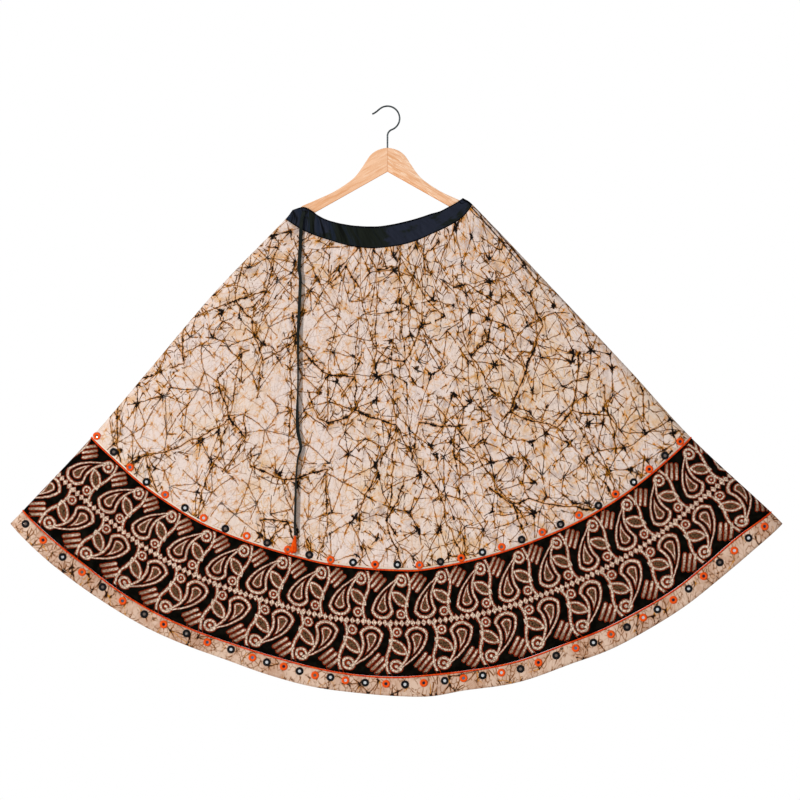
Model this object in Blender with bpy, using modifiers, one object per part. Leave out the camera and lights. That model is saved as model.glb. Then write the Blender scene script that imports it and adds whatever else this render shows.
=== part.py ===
"""A batik skirt spread flat on a wooden clothes hanger.

The frame is in metres, +Z up, seen from -Y. The origin is the top of the hook's inner
curve, where a wardrobe rail carries it. The skirt is a flattened tube: a front and a back
wall of cotton that meet in a soft fold at each side, open at the waist and at the hem.
"""

import math
from collections import namedtuple

import bmesh
import bpy
from mathutils import Vector

# Cloth
CLOTH_WALL = 0.0015
PIPING_WALL = 0.0026
PIPING_WIDTH = 0.003
PIPING_PROUD = 0.0009
SEAM_GAP = 0.0003

# Distances down the middle of the skirt, from the band's top edge
BAND_END = 0.044
BORDER_START = 0.689
BORDER_END = 0.900
HEM_END = 0.938

# Outline of the spread skirt, ring by ring. Each ring is an arc from the left fold to the
# right fold that sags by `sag` below the line between them. The walls stand half_depth
# from the middle plane, and turn in to the side fold over fold_reach.
Ring = namedtuple("Ring", "down left_x left_z right_x right_z sag half_depth fold_reach")
RINGS = [
    Ring(0.000, -0.190, -0.206, 0.151, -0.182, 0.045, 0.0082, 0.008),
    Ring(BAND_END, -0.204, -0.224, 0.170, -0.195, 0.072, 0.0082, 0.008),
    Ring(0.271, -0.343, -0.368, 0.332, -0.365, 0.143, 0.0095, 0.020),
    Ring(0.497, -0.477, -0.526, 0.483, -0.525, 0.211, 0.0115, 0.034),
    Ring(BORDER_START, -0.592, -0.661, 0.607, -0.661, 0.267, 0.0130, 0.045),
    Ring(BORDER_END, -0.729, -0.807, 0.767, -0.810, 0.331, 0.0145, 0.052),
    Ring(HEM_END, -0.754, -0.833, 0.790, -0.833, 0.344, 0.0150, 0.055),
]

# How far the cloth is drawn in from those arcs, towards their centres, in millimetres.
# It rides up over the left arm's end at the waist, and it hangs unevenly at the hem.
DRAW_IN_REACH = 0.30
DrawIn = namedtuple("DrawIn", "share waist seam border_start border_end hem")
DRAW_INS = [
    DrawIn(0.00, 0.0, 0.0, 0.0, 0.0, 0.0),
    DrawIn(0.05, 14.0, -0.2, 2.5, 3.0, 1.5),
    DrawIn(0.10, 13.3, 0.0, 1.4, 6.5, 4.7),
    DrawIn(0.15, 8.0, 1.0, 1.8, 4.5, 7.0),
    DrawIn(0.20, 4.5, 2.2, 1.4, 5.0, 8.2),
    DrawIn(0.25, 3.0, 2.8, 4.0, 8.0, 12.3),
    DrawIn(0.30, 2.0, 1.8, 6.4, 10.7, 14.6),
    DrawIn(0.35, 1.3, 0.9, 7.0, 10.0, 10.6),
    DrawIn(0.40, 0.8, -0.1, 4.6, 5.6, 5.6),
    DrawIn(0.45, 0.4, -0.9, 4.2, 1.4, 4.0),
    DrawIn(0.50, 0.0, -0.7, 2.6, 0.4, 0.6),
    DrawIn(0.54, 0.6, -0.5, 0.2, 2.6, -2.2),
    DrawIn(0.58, 1.1, -0.7, 3.2, 3.4, 2.8),
    DrawIn(0.64, 1.8, -0.9, 6.4, 2.8, -0.8),
    DrawIn(0.70, 2.0, -0.4, 7.8, 8.6, 4.2),
    DrawIn(0.75, 2.0, 0.0, 7.4, 8.2, 1.6),
    DrawIn(0.80, 1.5, -1.2, 6.0, 8.8, 3.2),
    DrawIn(0.85, -0.9, -3.2, 4.8, 9.0, 4.6),
    DrawIn(0.90, -0.7, -5.2, 4.0, 13.0, 7.6),
    DrawIn(0.95, -1.0, -4.2, 3.0, 13.6, 6.6),
    DrawIn(1.00, 0.0, 0.0, 0.0, 0.0, 0.0),
]

# Soft folds that run down the cloth. A fold lies at share_top of the way across at the
# waist and at share_hem at the hem, and stands out by `height` once it is fully formed.
Fold = namedtuple("Fold", "share_top share_hem width height starts")
FRONT_FOLDS = [
    Fold(0.09, 0.07, 0.034, 0.0024, 0.20),
    Fold(0.17, 0.24, 0.040, 0.0040, 0.10),
    Fold(0.30, 0.34, 0.046, 0.0026, 0.42),
    Fold(0.40, 0.42, 0.036, 0.0022, 0.55),
    Fold(0.475, 0.51, 0.042, 0.0038, 0.16),
    Fold(0.60, 0.60, 0.040, 0.0026, 0.46),
    Fold(0.68, 0.68, 0.036, 0.0042, 0.24),
    Fold(0.78, 0.77, 0.044, 0.0024, 0.50),
    Fold(0.88, 0.86, 0.040, 0.0032, 0.30),
    Fold(0.95, 0.94, 0.028, 0.0022, 0.06),
]
BACK_FOLDS = [
    Fold(0.07, 0.09, 0.036, 0.0026, 0.16),
    Fold(0.19, 0.18, 0.042, 0.0034, 0.34),
    Fold(0.28, 0.29, 0.040, 0.0040, 0.12),
    Fold(0.39, 0.37, 0.038, 0.0024, 0.50),
    Fold(0.50, 0.47, 0.046, 0.0036, 0.22),
    Fold(0.58, 0.58, 0.036, 0.0024, 0.44),
    Fold(0.67, 0.66, 0.042, 0.0040, 0.28),
    Fold(0.77, 0.79, 0.038, 0.0026, 0.52),
    Fold(0.90, 0.90, 0.036, 0.0030, 0.18),
]

# Gathers that the drawstring pulls into the band. Each crosses the band at a slant, from
# share_top at its upper edge to share_seam at its lower edge.
Gather = namedtuple("Gather", "share_top share_seam width height")
FRONT_GATHERS = [
    Gather(0.075, 0.070, 0.0050, 0.0013),
    Gather(0.120, 0.135, 0.0045, 0.0016),
    Gather(0.165, 0.190, 0.0048, 0.0018),
    Gather(0.210, 0.250, 0.0046, 0.0017),
    Gather(0.255, 0.315, 0.0050, 0.0016),
    Gather(0.320, 0.385, 0.0060, 0.0014),
    Gather(0.395, 0.465, 0.0060, 0.0012),
    Gather(0.500, 0.550, 0.0070, 0.0008),
    Gather(0.640, 0.665, 0.0065, 0.0008),
    Gather(0.900, 0.905, 0.0060, 0.0010),
]
BACK_GATHERS = [
    Gather(0.090, 0.080, 0.0050, 0.0014),
    Gather(0.150, 0.150, 0.0048, 0.0015),
    Gather(0.215, 0.230, 0.0050, 0.0017),
    Gather(0.290, 0.310, 0.0052, 0.0014),
    Gather(0.380, 0.410, 0.0060, 0.0012),
    Gather(0.480, 0.500, 0.0056, 0.0012),
    Gather(0.590, 0.600, 0.0060, 0.0010),
    Gather(0.720, 0.715, 0.0058, 0.0012),
    Gather(0.860, 0.850, 0.0060, 0.0010),
]
GATHER_FADE = 0.055

Face = namedtuple("Face", "name sign folds gathers")
FACES = [
    Face("front", -1, FRONT_FOLDS, FRONT_GATHERS),
    Face("back", 1, BACK_FOLDS, BACK_GATHERS),
]

# The cut pieces of each face, from the top down: where each starts and ends down the
# middle, its rows and columns of points, its wall, and how proud of the cloth it stands.
HALF_GAP = SEAM_GAP / 2
HALF_PIPING = PIPING_WIDTH / 2
BESIDE_PIPING = HALF_PIPING + SEAM_GAP
Cut = namedtuple("Cut", "name top bottom rows columns wall proud finish")
CUTS = [
    Cut("waistband", 0.0, BAND_END - HALF_GAP, 3, 60, CLOTH_WALL, 0.0, "band_navy"),
    Cut("body", BAND_END + HALF_GAP, BORDER_START - BESIDE_PIPING, 8, 64, CLOTH_WALL, 0.0,
        "batik_body"),
    Cut("piping_upper", BORDER_START - HALF_PIPING, BORDER_START + HALF_PIPING, 1, 64,
        PIPING_WALL, PIPING_PROUD, "piping_orange"),
    Cut("border", BORDER_START + BESIDE_PIPING, BORDER_END - BESIDE_PIPING, 3, 64,
        CLOTH_WALL, 0.0, "batik_border"),
    Cut("piping_lower", BORDER_END - HALF_PIPING, BORDER_END + HALF_PIPING, 1, 64,
        PIPING_WALL, PIPING_PROUD, "piping_orange"),
    Cut("hem", BORDER_END + BESIDE_PIPING, HEM_END, 1, 64, CLOTH_WALL, 0.0, "batik_hem"),
]

# The side fold: a short stub beside the seam gap, then turns up to the flat of the face.
# Folds and gathers fade in past it, over so many times its own reach.
FOLD_STUB_SHARE = 0.55
FOLD_TURNS = [0.0, 24.0, 46.0, 68.0]
RELIEF_FADE = 1.5

# Drawstring: a flat tape, 7 mm wide, that leaves an eyelet near the band's left end.
# Its route is x, z, how far it stands off the cloth, and its twist.
TAPE_WIDTH = 0.007
TAPE_THICKNESS = 0.0014
TAPE_POINTS = 42
DEPTH_SEARCH_ROWS = 180
Stop = namedtuple("Stop", "x z off twist")
TAPE_ROUTE = [
    Stop(-0.1660, -0.2090, 0.0017, 0),
    Stop(-0.1680, -0.2150, 0.0017, 0),
    Stop(-0.1705, -0.2240, 0.0026, 0),
    Stop(-0.1725, -0.2400, 0.0046, 0),
    Stop(-0.1745, -0.2900, 0.0052, 5),
    Stop(-0.1765, -0.3230, 0.0052, 14),
    Stop(-0.1740, -0.3420, 0.0052, 30),
    Stop(-0.1750, -0.3800, 0.0052, 24),
    Stop(-0.1785, -0.4560, 0.0052, 40),
    Stop(-0.1785, -0.5180, 0.0052, 62),
    Stop(-0.1790, -0.5700, 0.0054, 64),
    Stop(-0.1800, -0.6150, 0.0054, 30),
    Stop(-0.1785, -0.6500, 0.0054, 12),
    Stop(-0.1730, -0.6800, 0.0054, 34),
    Stop(-0.1790, -0.7050, 0.0054, 58),
    Stop(-0.1825, -0.7450, 0.0054, 60),
    Stop(-0.1835, -0.7900, 0.0054, 52),
    Stop(-0.1845, -0.8300, 0.0054, 50),
    Stop(-0.1840, -0.8560, 0.0054, 46),
]

# Tassel: a fluted cone of folded cloth, flatter from front to back, that leans to the left
TASSEL_LENGTH = 0.034
TASSEL_WIDTH = 0.0140
TASSEL_TOP_WIDTH = 0.0030
TASSEL_FLATNESS = 0.55
TASSEL_BELLY = 0.16
TASSEL_FLUTES = 7
TASSEL_FLUTE_DEPTH = 0.10
TASSEL_ROWS = 4
TASSEL_LEAN = 0.0022

# Hanger: two glued wooden arms and a wire hook
ARM_THICKNESS = 0.012
ARM_EDGE_ROUND = 0.003
ARM_SPAN_LEFT = 0.183
ARM_SPAN_RIGHT = 0.158
ARM_TIP_REACH = 0.014
ARM_TIP_POINTS = 8
ARM_LEAST_STEP = 0.004
ARM_UNDER_CENTRE = -0.1292
ARM_UNDER_SLOPE = 0.563
Edge = namedtuple("Edge", "out z")
ARM_TOP_EDGE = [
    Edge(0.000, -0.0820),
    Edge(0.008, -0.0830),
    Edge(0.020, -0.0868),
    Edge(0.028, -0.0915),
    Edge(0.036, -0.0990),
    Edge(0.045, -0.1128),
    Edge(0.054, -0.1262),
    Edge(0.064, -0.1392),
    Edge(0.076, -0.1497),
    Edge(0.092, -0.1607),
    Edge(0.112, -0.1724),
    Edge(0.143, -0.1864),
    Edge(0.183, -0.2035),
]

# Hook: a straight stem that bends out to the right, then an open round, turned from the
# first angle to the last, that flares out to its tip. HOOK_BEND and HOOK_TIP are x and z,
# measured from the stem's foot and from the round's centre.
WIRE_DIAMETER = 0.0034
HOOK_INNER_RADIUS = 0.0226
HOOK_STEM = 0.024
HOOK_BEND = (0.0030, 0.0315)
HOOK_TURNS = [-58, -35, -13, 9, 31, 53, 75, 97, 119]
HOOK_TIP = [(-0.0235, 0.0125), (-0.0305, 0.0085)]
HOOK_POINTS = 36

# Steps from stop to stop in which a smooth route is measured
FINE_STEPS = 12

MATERIALS = {
    "batik_body": ((0.74, 0.60, 0.50), 0.85, 0.0),
    "batik_border": ((0.030, 0.026, 0.020), 0.85, 0.0),
    "batik_hem": ((0.66, 0.50, 0.40), 0.85, 0.0),
    "band_navy": ((0.018, 0.024, 0.042), 0.80, 0.0),
    "piping_orange": ((0.80, 0.11, 0.03), 0.70, 0.0),
    "tape_dark": ((0.012, 0.018, 0.014), 0.80, 0.0),
    "tassel_orange": ((0.78, 0.10, 0.02), 0.80, 0.0),
    "beech": ((0.78, 0.50, 0.30), 0.45, 0.0),
    "steel_wire": ((0.35, 0.37, 0.38), 0.30, 1.0),
}


def clear_scene():
    for item in list(bpy.data.objects):
        bpy.data.objects.remove(item)


def material(name):
    colour, roughness, metallic = MATERIALS[name]
    made = bpy.data.materials.get(name)
    if made is None:
        made = bpy.data.materials.new(name)
        made.use_nodes = True
        shader = made.node_tree.nodes["Principled BSDF"]
        shader.inputs["Base Color"].default_value = (*colour, 1.0)
        shader.inputs["Roughness"].default_value = roughness
        shader.inputs["Metallic"].default_value = metallic
    return made


def add_object(name, data, collection, material_name):
    made = bpy.data.objects.new(name, data)
    made.data.materials.append(material(material_name))
    collection.objects.link(made)
    return made


def between(low, high, share):
    return low + (high - low) * share


def soft_step(value):
    value = min(max(value, 0.0), 1.0)
    return value * value * (3.0 - 2.0 * value)


def ridge(distance, width):
    return math.exp(-0.5 * (distance / width) ** 2)


def slope(rows, index, column):
    """Slope of a table's column at a row, from the rows on either side of it."""
    first = rows[max(index - 1, 0)]
    last = rows[min(index + 1, len(rows) - 1)]
    return (last[column] - first[column]) / (last[0] - first[0])


def smooth_row(rows, wanted):
    """The row of a table at `wanted`, on smooth curves through its columns."""
    index = 0
    while index < len(rows) - 2 and wanted > rows[index + 1][0]:
        index += 1
    low, high = rows[index], rows[index + 1]
    gap = high[0] - low[0]
    t = (wanted - low[0]) / gap
    ease = t * t * (3.0 - 2.0 * t)
    return type(low)(*(
        between(low[column], high[column], ease)
        + gap * t * (1.0 - t) ** 2 * slope(rows, index, column)
        - gap * t * t * (1.0 - t) * slope(rows, index + 1, column)
        for column in range(len(low))
    ))


def ring_at(down):
    """The ring at this distance down the middle."""
    return smooth_row(RINGS, down)


def draw_in_at(down, share):
    """How far the cloth is drawn in from its ring's arc, in metres."""
    row = smooth_row(DRAW_INS, share)
    steps = [
        (0.0, row.waist),
        (BAND_END, row.seam),
        (BORDER_START - DRAW_IN_REACH, 0.0),
        (BORDER_START, row.border_start),
        (BORDER_END, row.border_end),
        (HEM_END, row.hem),
    ]
    for low, high in zip(steps, steps[1:]):
        if down <= high[0]:
            break
    return between(low[1], high[1], (down - low[0]) / (high[0] - low[0])) / 1000.0


def arc_of(ring):
    """(centre, radius, angle of the left end, angle swept) of a ring's arc."""
    left = Vector((ring.left_x, ring.left_z))
    right = Vector((ring.right_x, ring.right_z))
    half_chord = (right - left).length / 2
    radius = (half_chord**2 + ring.sag**2) / (2 * ring.sag)
    up = Vector((-(right - left).y, (right - left).x)).normalized()
    centre = (left + right) / 2 + up * (radius - ring.sag)
    start = math.atan2(left.y - centre.y, left.x - centre.x)
    swept = 2 * math.asin(half_chord / radius)
    return centre, radius, start, swept


def fold_depth(folds, share, down, length):
    """How far the long folds push the cloth out at one place."""
    total = 0.0
    for fold in folds:
        formed = soft_step((down / HEM_END - fold.starts) / (1.0 - fold.starts))
        centre = between(fold.share_top, fold.share_hem, down / HEM_END)
        total += fold.height * formed * ridge((share - centre) * length, fold.width)
    return total


def gather_depth(gathers, share, down, length):
    """How far the drawstring's gathers push the cloth out at one place."""
    along = min(down / BAND_END, 1.0)
    fade = soft_step(1.0 - (down - BAND_END) / GATHER_FADE)
    total = 0.0
    for gather in gathers:
        centre = between(gather.share_top, gather.share_seam, along)
        total += gather.height * ridge((share - centre) * length, gather.width)
    return total * fade


def columns(inner):
    """How each column of points is placed: (side, turn in degrees, inner share)."""
    left = [(-1, None, 0.0)] + [(-1, turn, 0.0) for turn in FOLD_TURNS]
    middle = [(0, None, step / inner) for step in range(inner + 1)]
    right = [(1, turn, 0.0) for turn in reversed(FOLD_TURNS)] + [(1, None, 0.0)]
    return left + middle + right


def wall_point(cut, face, down, column):
    """A point of the outer side of one cut piece of the front or the back."""
    ring = ring_at(down)
    centre, radius, start, swept = arc_of(ring)
    length = radius * swept
    full_depth = ring.half_depth + cut.proud
    stub = HALF_GAP + FOLD_STUB_SHARE * cut.wall
    side, turn, inner_share = column
    if side == 0:
        along = between(ring.fold_reach, length - ring.fold_reach, inner_share)
        depth = full_depth
    else:
        angle = math.radians(turn or 0.0)
        inset = ring.fold_reach * (1.0 - math.cos(angle))
        depth = HALF_GAP if turn is None else stub + (full_depth - stub) * math.sin(angle)
        along = inset if side < 0 else length - inset
    share = along / length
    from_fold = min(along, length - along)
    taper = soft_step((from_fold / ring.fold_reach - 1.0) / RELIEF_FADE)
    depth += taper * fold_depth(face.folds, share, down, length)
    depth += taper * gather_depth(face.gathers, share, down, length)
    angle = start + swept * share
    radius -= draw_in_at(down, share)
    x = centre.x + radius * math.cos(angle)
    z = centre.y + radius * math.sin(angle)
    return Vector((x, face.sign * depth, z))


def panel(cut, face, group):
    """One cut piece of cloth: its outer side as a grid of points, thickened inwards."""
    name = f"{cut.name}_{face.name}"
    across = columns(cut.columns)
    mesh = bpy.data.meshes.new(name)
    grid = bmesh.new()
    bmesh.ops.create_grid(grid, x_segments=len(across) - 1, y_segments=cut.rows, size=1.0)
    for point in grid.verts:
        column = round((point.co.x + 1.0) / 2.0 * (len(across) - 1))
        down = between(cut.bottom, cut.top, (point.co.y + 1.0) / 2.0)
        point.co = wall_point(cut, face, down, across[column])
    if face.sign > 0:
        bmesh.ops.reverse_faces(grid, faces=grid.faces)
    grid.to_mesh(mesh)
    grid.free()
    mesh.shade_smooth()
    made = add_object(name, mesh, group, cut.finish)
    thicken = made.modifiers.new("cloth", "SOLIDIFY")
    thicken.thickness = cut.wall
    thicken.offset = -1.0
    thicken.use_even_offset = True
    thicken.use_quality_normals = True
    return made


def front_depth_at(x, z):
    """Depth of the front's outer side at a place on it, found by walking down the rings."""
    best = None
    for row in range(DEPTH_SEARCH_ROWS + 1):
        down = HEM_END * row / DEPTH_SEARCH_ROWS
        ring = ring_at(down)
        centre, radius, start, swept = arc_of(ring)
        share = (math.atan2(z - centre.y, x - centre.x) - start) / swept
        share = min(max(share, 0.0), 1.0)
        reach = radius - draw_in_at(down, share)
        miss = abs((Vector((x, z)) - centre).length - reach)
        if best is None or miss < best[0]:
            length = radius * swept
            depth = ring.half_depth + fold_depth(FRONT_FOLDS, share, down, length)
            depth += gather_depth(FRONT_GATHERS, share, down, length)
            best = (miss, depth)
    return best[1]


def curve_between(before, low, high, after, t):
    """A point on the smooth curve from low to high, shaped by the stops beside them."""
    return [
        0.5 * (2 * b + (c - a) * t + (2 * a - 5 * b + 4 * c - d) * t**2
               + (3 * b - a - 3 * c + d) * t**3)
        for a, b, c, d in zip(before, low, high, after)
    ]


def smooth_route(stops, count):
    """Points read from one smooth curve through the stops, evenly along it."""
    fine = []
    padded = [stops[0], *stops, stops[-1]]
    for four in zip(padded, padded[1:], padded[2:], padded[3:]):
        fine.extend(curve_between(*four, step / FINE_STEPS) for step in range(FINE_STEPS))
    fine.append(list(stops[-1]))
    lengths = [0.0]
    for first, second in zip(fine, fine[1:]):
        lengths.append(lengths[-1] + math.dist(first[:3], second[:3]))
    route = []
    index = 0
    for number in range(count):
        wanted = lengths[-1] * number / (count - 1)
        while index < len(fine) - 2 and lengths[index + 1] < wanted:
            index += 1
        share = (wanted - lengths[index]) / (lengths[index + 1] - lengths[index])
        route.append([between(a, b, share) for a, b in zip(fine[index], fine[index + 1])])
    return route


def tape_path():
    """The drawstring's centreline as x, y, z, twist."""
    stops = [(s.x, -front_depth_at(s.x, s.z) - s.off, s.z, s.twist) for s in TAPE_ROUTE]
    return smooth_route(stops, TAPE_POINTS)


def drawstring(group):
    """The tape: a strip through its path, turned by its twist, and thickened both ways."""
    route = tape_path()
    mesh = bpy.data.meshes.new("drawstring")
    strip = bmesh.new()
    bmesh.ops.create_grid(strip, x_segments=2, y_segments=len(route) - 1, size=1.0)
    for point in strip.verts:
        row = round((1.0 - point.co.y) / 2.0 * (len(route) - 1))
        x, y, z, twist = route[row]
        turn = math.radians(twist)
        out = point.co.x * (TAPE_WIDTH / 2)
        point.co = (x + out * math.cos(turn), y - out * math.sin(turn), z)
    strip.to_mesh(mesh)
    strip.free()
    made = add_object("drawstring", mesh, group, "tape_dark")
    thicken = made.modifiers.new("tape", "SOLIDIFY")
    thicken.thickness = TAPE_THICKNESS
    thicken.offset = 0.0
    return made


def tassel(group):
    """A folded-cloth tassel: a fluted cone below the end of the tape."""
    end = tape_path()[-1]
    top = Vector((end[0], end[1], end[2] - SEAM_GAP))
    cone = bmesh.new()
    segments = 2 * TASSEL_FLUTES
    bmesh.ops.create_cone(
        cone, cap_ends=True, segments=segments, radius1=TASSEL_WIDTH / 2,
        radius2=TASSEL_TOP_WIDTH / 2, depth=TASSEL_LENGTH,
    )
    sides = [edge for edge in cone.edges if edge.calc_length() > TASSEL_LENGTH / 2]
    bmesh.ops.subdivide_edges(cone, edges=sides, cuts=TASSEL_ROWS - 1)
    for point in cone.verts:
        drop = 0.5 - point.co.z / TASSEL_LENGTH
        turn = math.atan2(point.co.y, point.co.x)
        flute = 1.0 + TASSEL_FLUTE_DEPTH * drop * math.cos(TASSEL_FLUTES * turn)
        belly = 1.0 + TASSEL_BELLY * math.sin(math.pi * drop)
        point.co.x *= flute * belly
        point.co.y *= TASSEL_FLATNESS * flute * belly
        point.co.x -= TASSEL_LEAN * drop
        point.co.z -= TASSEL_LENGTH / 2
    bmesh.ops.translate(cone, verts=cone.verts, vec=top)
    mesh = bpy.data.meshes.new("tassel")
    cone.to_mesh(mesh)
    cone.free()
    return add_object("tassel", mesh, group, "tassel_orange")


def arm_top_at(out):
    for inner, outer in zip(ARM_TOP_EDGE, ARM_TOP_EDGE[1:]):
        if out <= outer.out:
            break
    return between(inner.z, outer.z, (out - inner.out) / (outer.out - inner.out))


def arm_outline(span):
    """An arm's outline as distance out and z, from the glued seam round to it again."""
    tip = span - ARM_TIP_REACH
    top = arm_top_at(tip)
    under = ARM_UNDER_CENTRE - ARM_UNDER_SLOPE * tip
    outline = [(edge.out, edge.z) for edge in ARM_TOP_EDGE if edge.out < tip - ARM_LEAST_STEP]
    for step in range(ARM_TIP_POINTS + 1):
        turn = math.pi * (0.5 - step / ARM_TIP_POINTS)
        out = ARM_TIP_REACH * math.cos(turn)
        middle = between(top, under, 0.5) - ARM_UNDER_SLOPE * out
        outline.append((tip + out, middle + (top - under) / 2 * math.sin(turn)))
    outline.append((0.0, ARM_UNDER_CENTRE))
    return outline


def hanger_arm(name, side, span, group):
    """One wooden arm: its outline, given its thickness, with its long edges rounded."""
    body = bmesh.new()
    points = []
    for out, z in arm_outline(span):
        x = max(out, HALF_GAP) * side
        points.append(body.verts.new((x, -ARM_THICKNESS / 2, z)))
    face = body.faces.new(points)
    grown = bmesh.ops.extrude_face_region(body, geom=[face])
    moved = [item for item in grown["geom"] if isinstance(item, bmesh.types.BMVert)]
    bmesh.ops.translate(body, verts=moved, vec=(0.0, ARM_THICKNESS, 0.0))
    bmesh.ops.recalc_face_normals(body, faces=body.faces)
    long_edges = [
        edge for edge in body.edges
        if abs(edge.verts[0].co.y - edge.verts[1].co.y) < 1e-6
        and max(abs(edge.verts[0].co.x), abs(edge.verts[1].co.x)) > SEAM_GAP
    ]
    bmesh.ops.bevel(body, geom=long_edges, offset=ARM_EDGE_ROUND, segments=2, profile=0.5,
                    affect="EDGES", clamp_overlap=True)
    mesh = bpy.data.meshes.new(name)
    body.to_mesh(mesh)
    body.free()
    return add_object(name, mesh, group, "beech")


def hook_route():
    """The wire's centreline from the stem's foot round to the tip."""
    radius = HOOK_INNER_RADIUS + WIRE_DIAMETER / 2
    foot = ARM_TOP_EDGE[0].z + SEAM_GAP
    centre = -HOOK_INNER_RADIUS
    stops = [(0.0, foot), (0.0, foot + HOOK_STEM / 2), (0.0, foot + HOOK_STEM)]
    stops.append((HOOK_BEND[0], foot + HOOK_BEND[1]))
    for turn in HOOK_TURNS:
        angle = math.radians(turn)
        stops.append((radius * math.cos(angle), centre + radius * math.sin(angle)))
    stops.extend((x, centre + z) for x, z in HOOK_TIP)
    return smooth_route([(x, 0.0, z) for x, z in stops], HOOK_POINTS)


def hanger_hook(group):
    curve = bpy.data.curves.new("hanger_hook", "CURVE")
    curve.dimensions = "3D"
    curve.bevel_depth = WIRE_DIAMETER / 2
    curve.bevel_resolution = 2
    curve.use_fill_caps = True
    line = curve.splines.new("POLY")
    route = hook_route()
    line.points.add(len(route) - 1)
    for point, place in zip(line.points, route):
        point.co = (*place, 1.0)
    return add_object("hanger_hook", curve, group, "steel_wire")


def main():
    clear_scene()
    group = bpy.data.collections.new("batik_skirt")
    bpy.context.scene.collection.children.link(group)
    for face in FACES:
        for cut in CUTS:
            panel(cut, face, group)
    drawstring(group)
    tassel(group)
    hanger_arm("hanger_arm_left", -1, ARM_SPAN_LEFT, group)
    hanger_arm("hanger_arm_right", 1, ARM_SPAN_RIGHT, group)
    hanger_hook(group)


main()
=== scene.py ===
"""A batik skirt spread flat on a wooden clothes hanger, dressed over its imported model.

Everything is in metres, +Z up, seen from -Y. The origin is the top of the hook's inner curve.
"""

import math

import bmesh
import bpy
import numpy as np
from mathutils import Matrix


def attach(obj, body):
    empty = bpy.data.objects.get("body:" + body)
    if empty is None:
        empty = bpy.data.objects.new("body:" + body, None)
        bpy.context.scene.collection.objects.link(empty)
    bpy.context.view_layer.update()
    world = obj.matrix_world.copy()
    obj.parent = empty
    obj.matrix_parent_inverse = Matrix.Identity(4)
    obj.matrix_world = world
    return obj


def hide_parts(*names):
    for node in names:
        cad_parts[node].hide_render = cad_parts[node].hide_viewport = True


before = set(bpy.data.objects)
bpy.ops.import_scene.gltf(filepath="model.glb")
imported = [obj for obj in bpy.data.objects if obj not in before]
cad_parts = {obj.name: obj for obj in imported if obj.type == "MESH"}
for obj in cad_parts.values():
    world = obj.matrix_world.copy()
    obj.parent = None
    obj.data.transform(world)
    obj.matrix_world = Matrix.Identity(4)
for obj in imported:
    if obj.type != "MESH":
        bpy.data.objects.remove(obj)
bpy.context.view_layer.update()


# The studio. The skirt hangs clear of a pale floor, white all round, with a small strong
# light at the left, a wide weak one at the right and one behind. A long lens stands straight
# in front of it.
def soft_light(name, place, aim, size, power):
    bpy.ops.object.light_add(type="AREA", location=place)
    light = bpy.context.object
    light.name = name
    light.data.shape = "DISK"
    light.data.size = size
    light.data.energy = power
    away = [a - b for a, b in zip(place, aim)]
    light.rotation_euler = (
        math.atan2(math.hypot(away[0], away[1]), away[2]),
        0.0,
        math.atan2(away[0], -away[1]),
    )


SKIRT_MIDDLE = (0.025, 0.0, -0.586)
LENS_AWAY = 6.0
PICTURE_WIDTH = 1.6
ROOM_LIGHT = 0.38
FLOOR_RADIUS = 2.2
FLOOR_MIDDLE = (0.025, 0.0, -1.75)

bpy.ops.object.select_all(action="DESELECT")
soft_light("key_light", (-5.1, -5.2, 1.2), SKIRT_MIDDLE, 0.6, 440.0)
soft_light("fill_light", (2.8, -3.0, -0.2), SKIRT_MIDDLE, 2.4, 14.0)
soft_light("back_light", (3.5, 5.5, 1.5), SKIRT_MIDDLE, 1.6, 250.0)

studio = bpy.data.worlds.new("white_studio")
studio.use_nodes = True
bpy.context.scene.world = studio
bpy.context.scene.view_settings.view_transform = "Standard"
around = studio.node_tree.nodes["Background"]
around.inputs["Color"].default_value = (1.0, 1.0, 1.0, 1.0)
seen = studio.node_tree.nodes.new("ShaderNodeLightPath")
lit = studio.node_tree.nodes.new("ShaderNodeMapRange")
lit.inputs["To Min"].default_value = ROOM_LIGHT
lit.inputs["To Max"].default_value = 1.0
studio.node_tree.links.new(seen.outputs["Is Camera Ray"], lit.inputs["Value"])
studio.node_tree.links.new(lit.outputs["Result"], around.inputs["Strength"])

bpy.ops.object.camera_add(
    location=(SKIRT_MIDDLE[0], -LENS_AWAY, SKIRT_MIDDLE[2]),
    rotation=(math.pi / 2, 0.0, 0.0),
)
bpy.context.scene.camera = bpy.context.object
bpy.context.object.data.lens = 36.0 * LENS_AWAY / PICTURE_WIDTH

bpy.ops.mesh.primitive_circle_add(
    vertices=96, radius=FLOOR_RADIUS, fill_type="NGON", location=FLOOR_MIDDLE
)
floor = bpy.context.object
floor.name = "floor"
floor_finish = bpy.data.materials.new("pale_floor")
floor_finish.use_nodes = True
floor_paint = floor_finish.node_tree.nodes["Principled BSDF"]
floor_paint.inputs["Base Color"].default_value = (0.80, 0.80, 0.79, 1.0)
floor_paint.inputs["Roughness"].default_value = 0.9
floor.data.materials.append(floor_finish)


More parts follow.
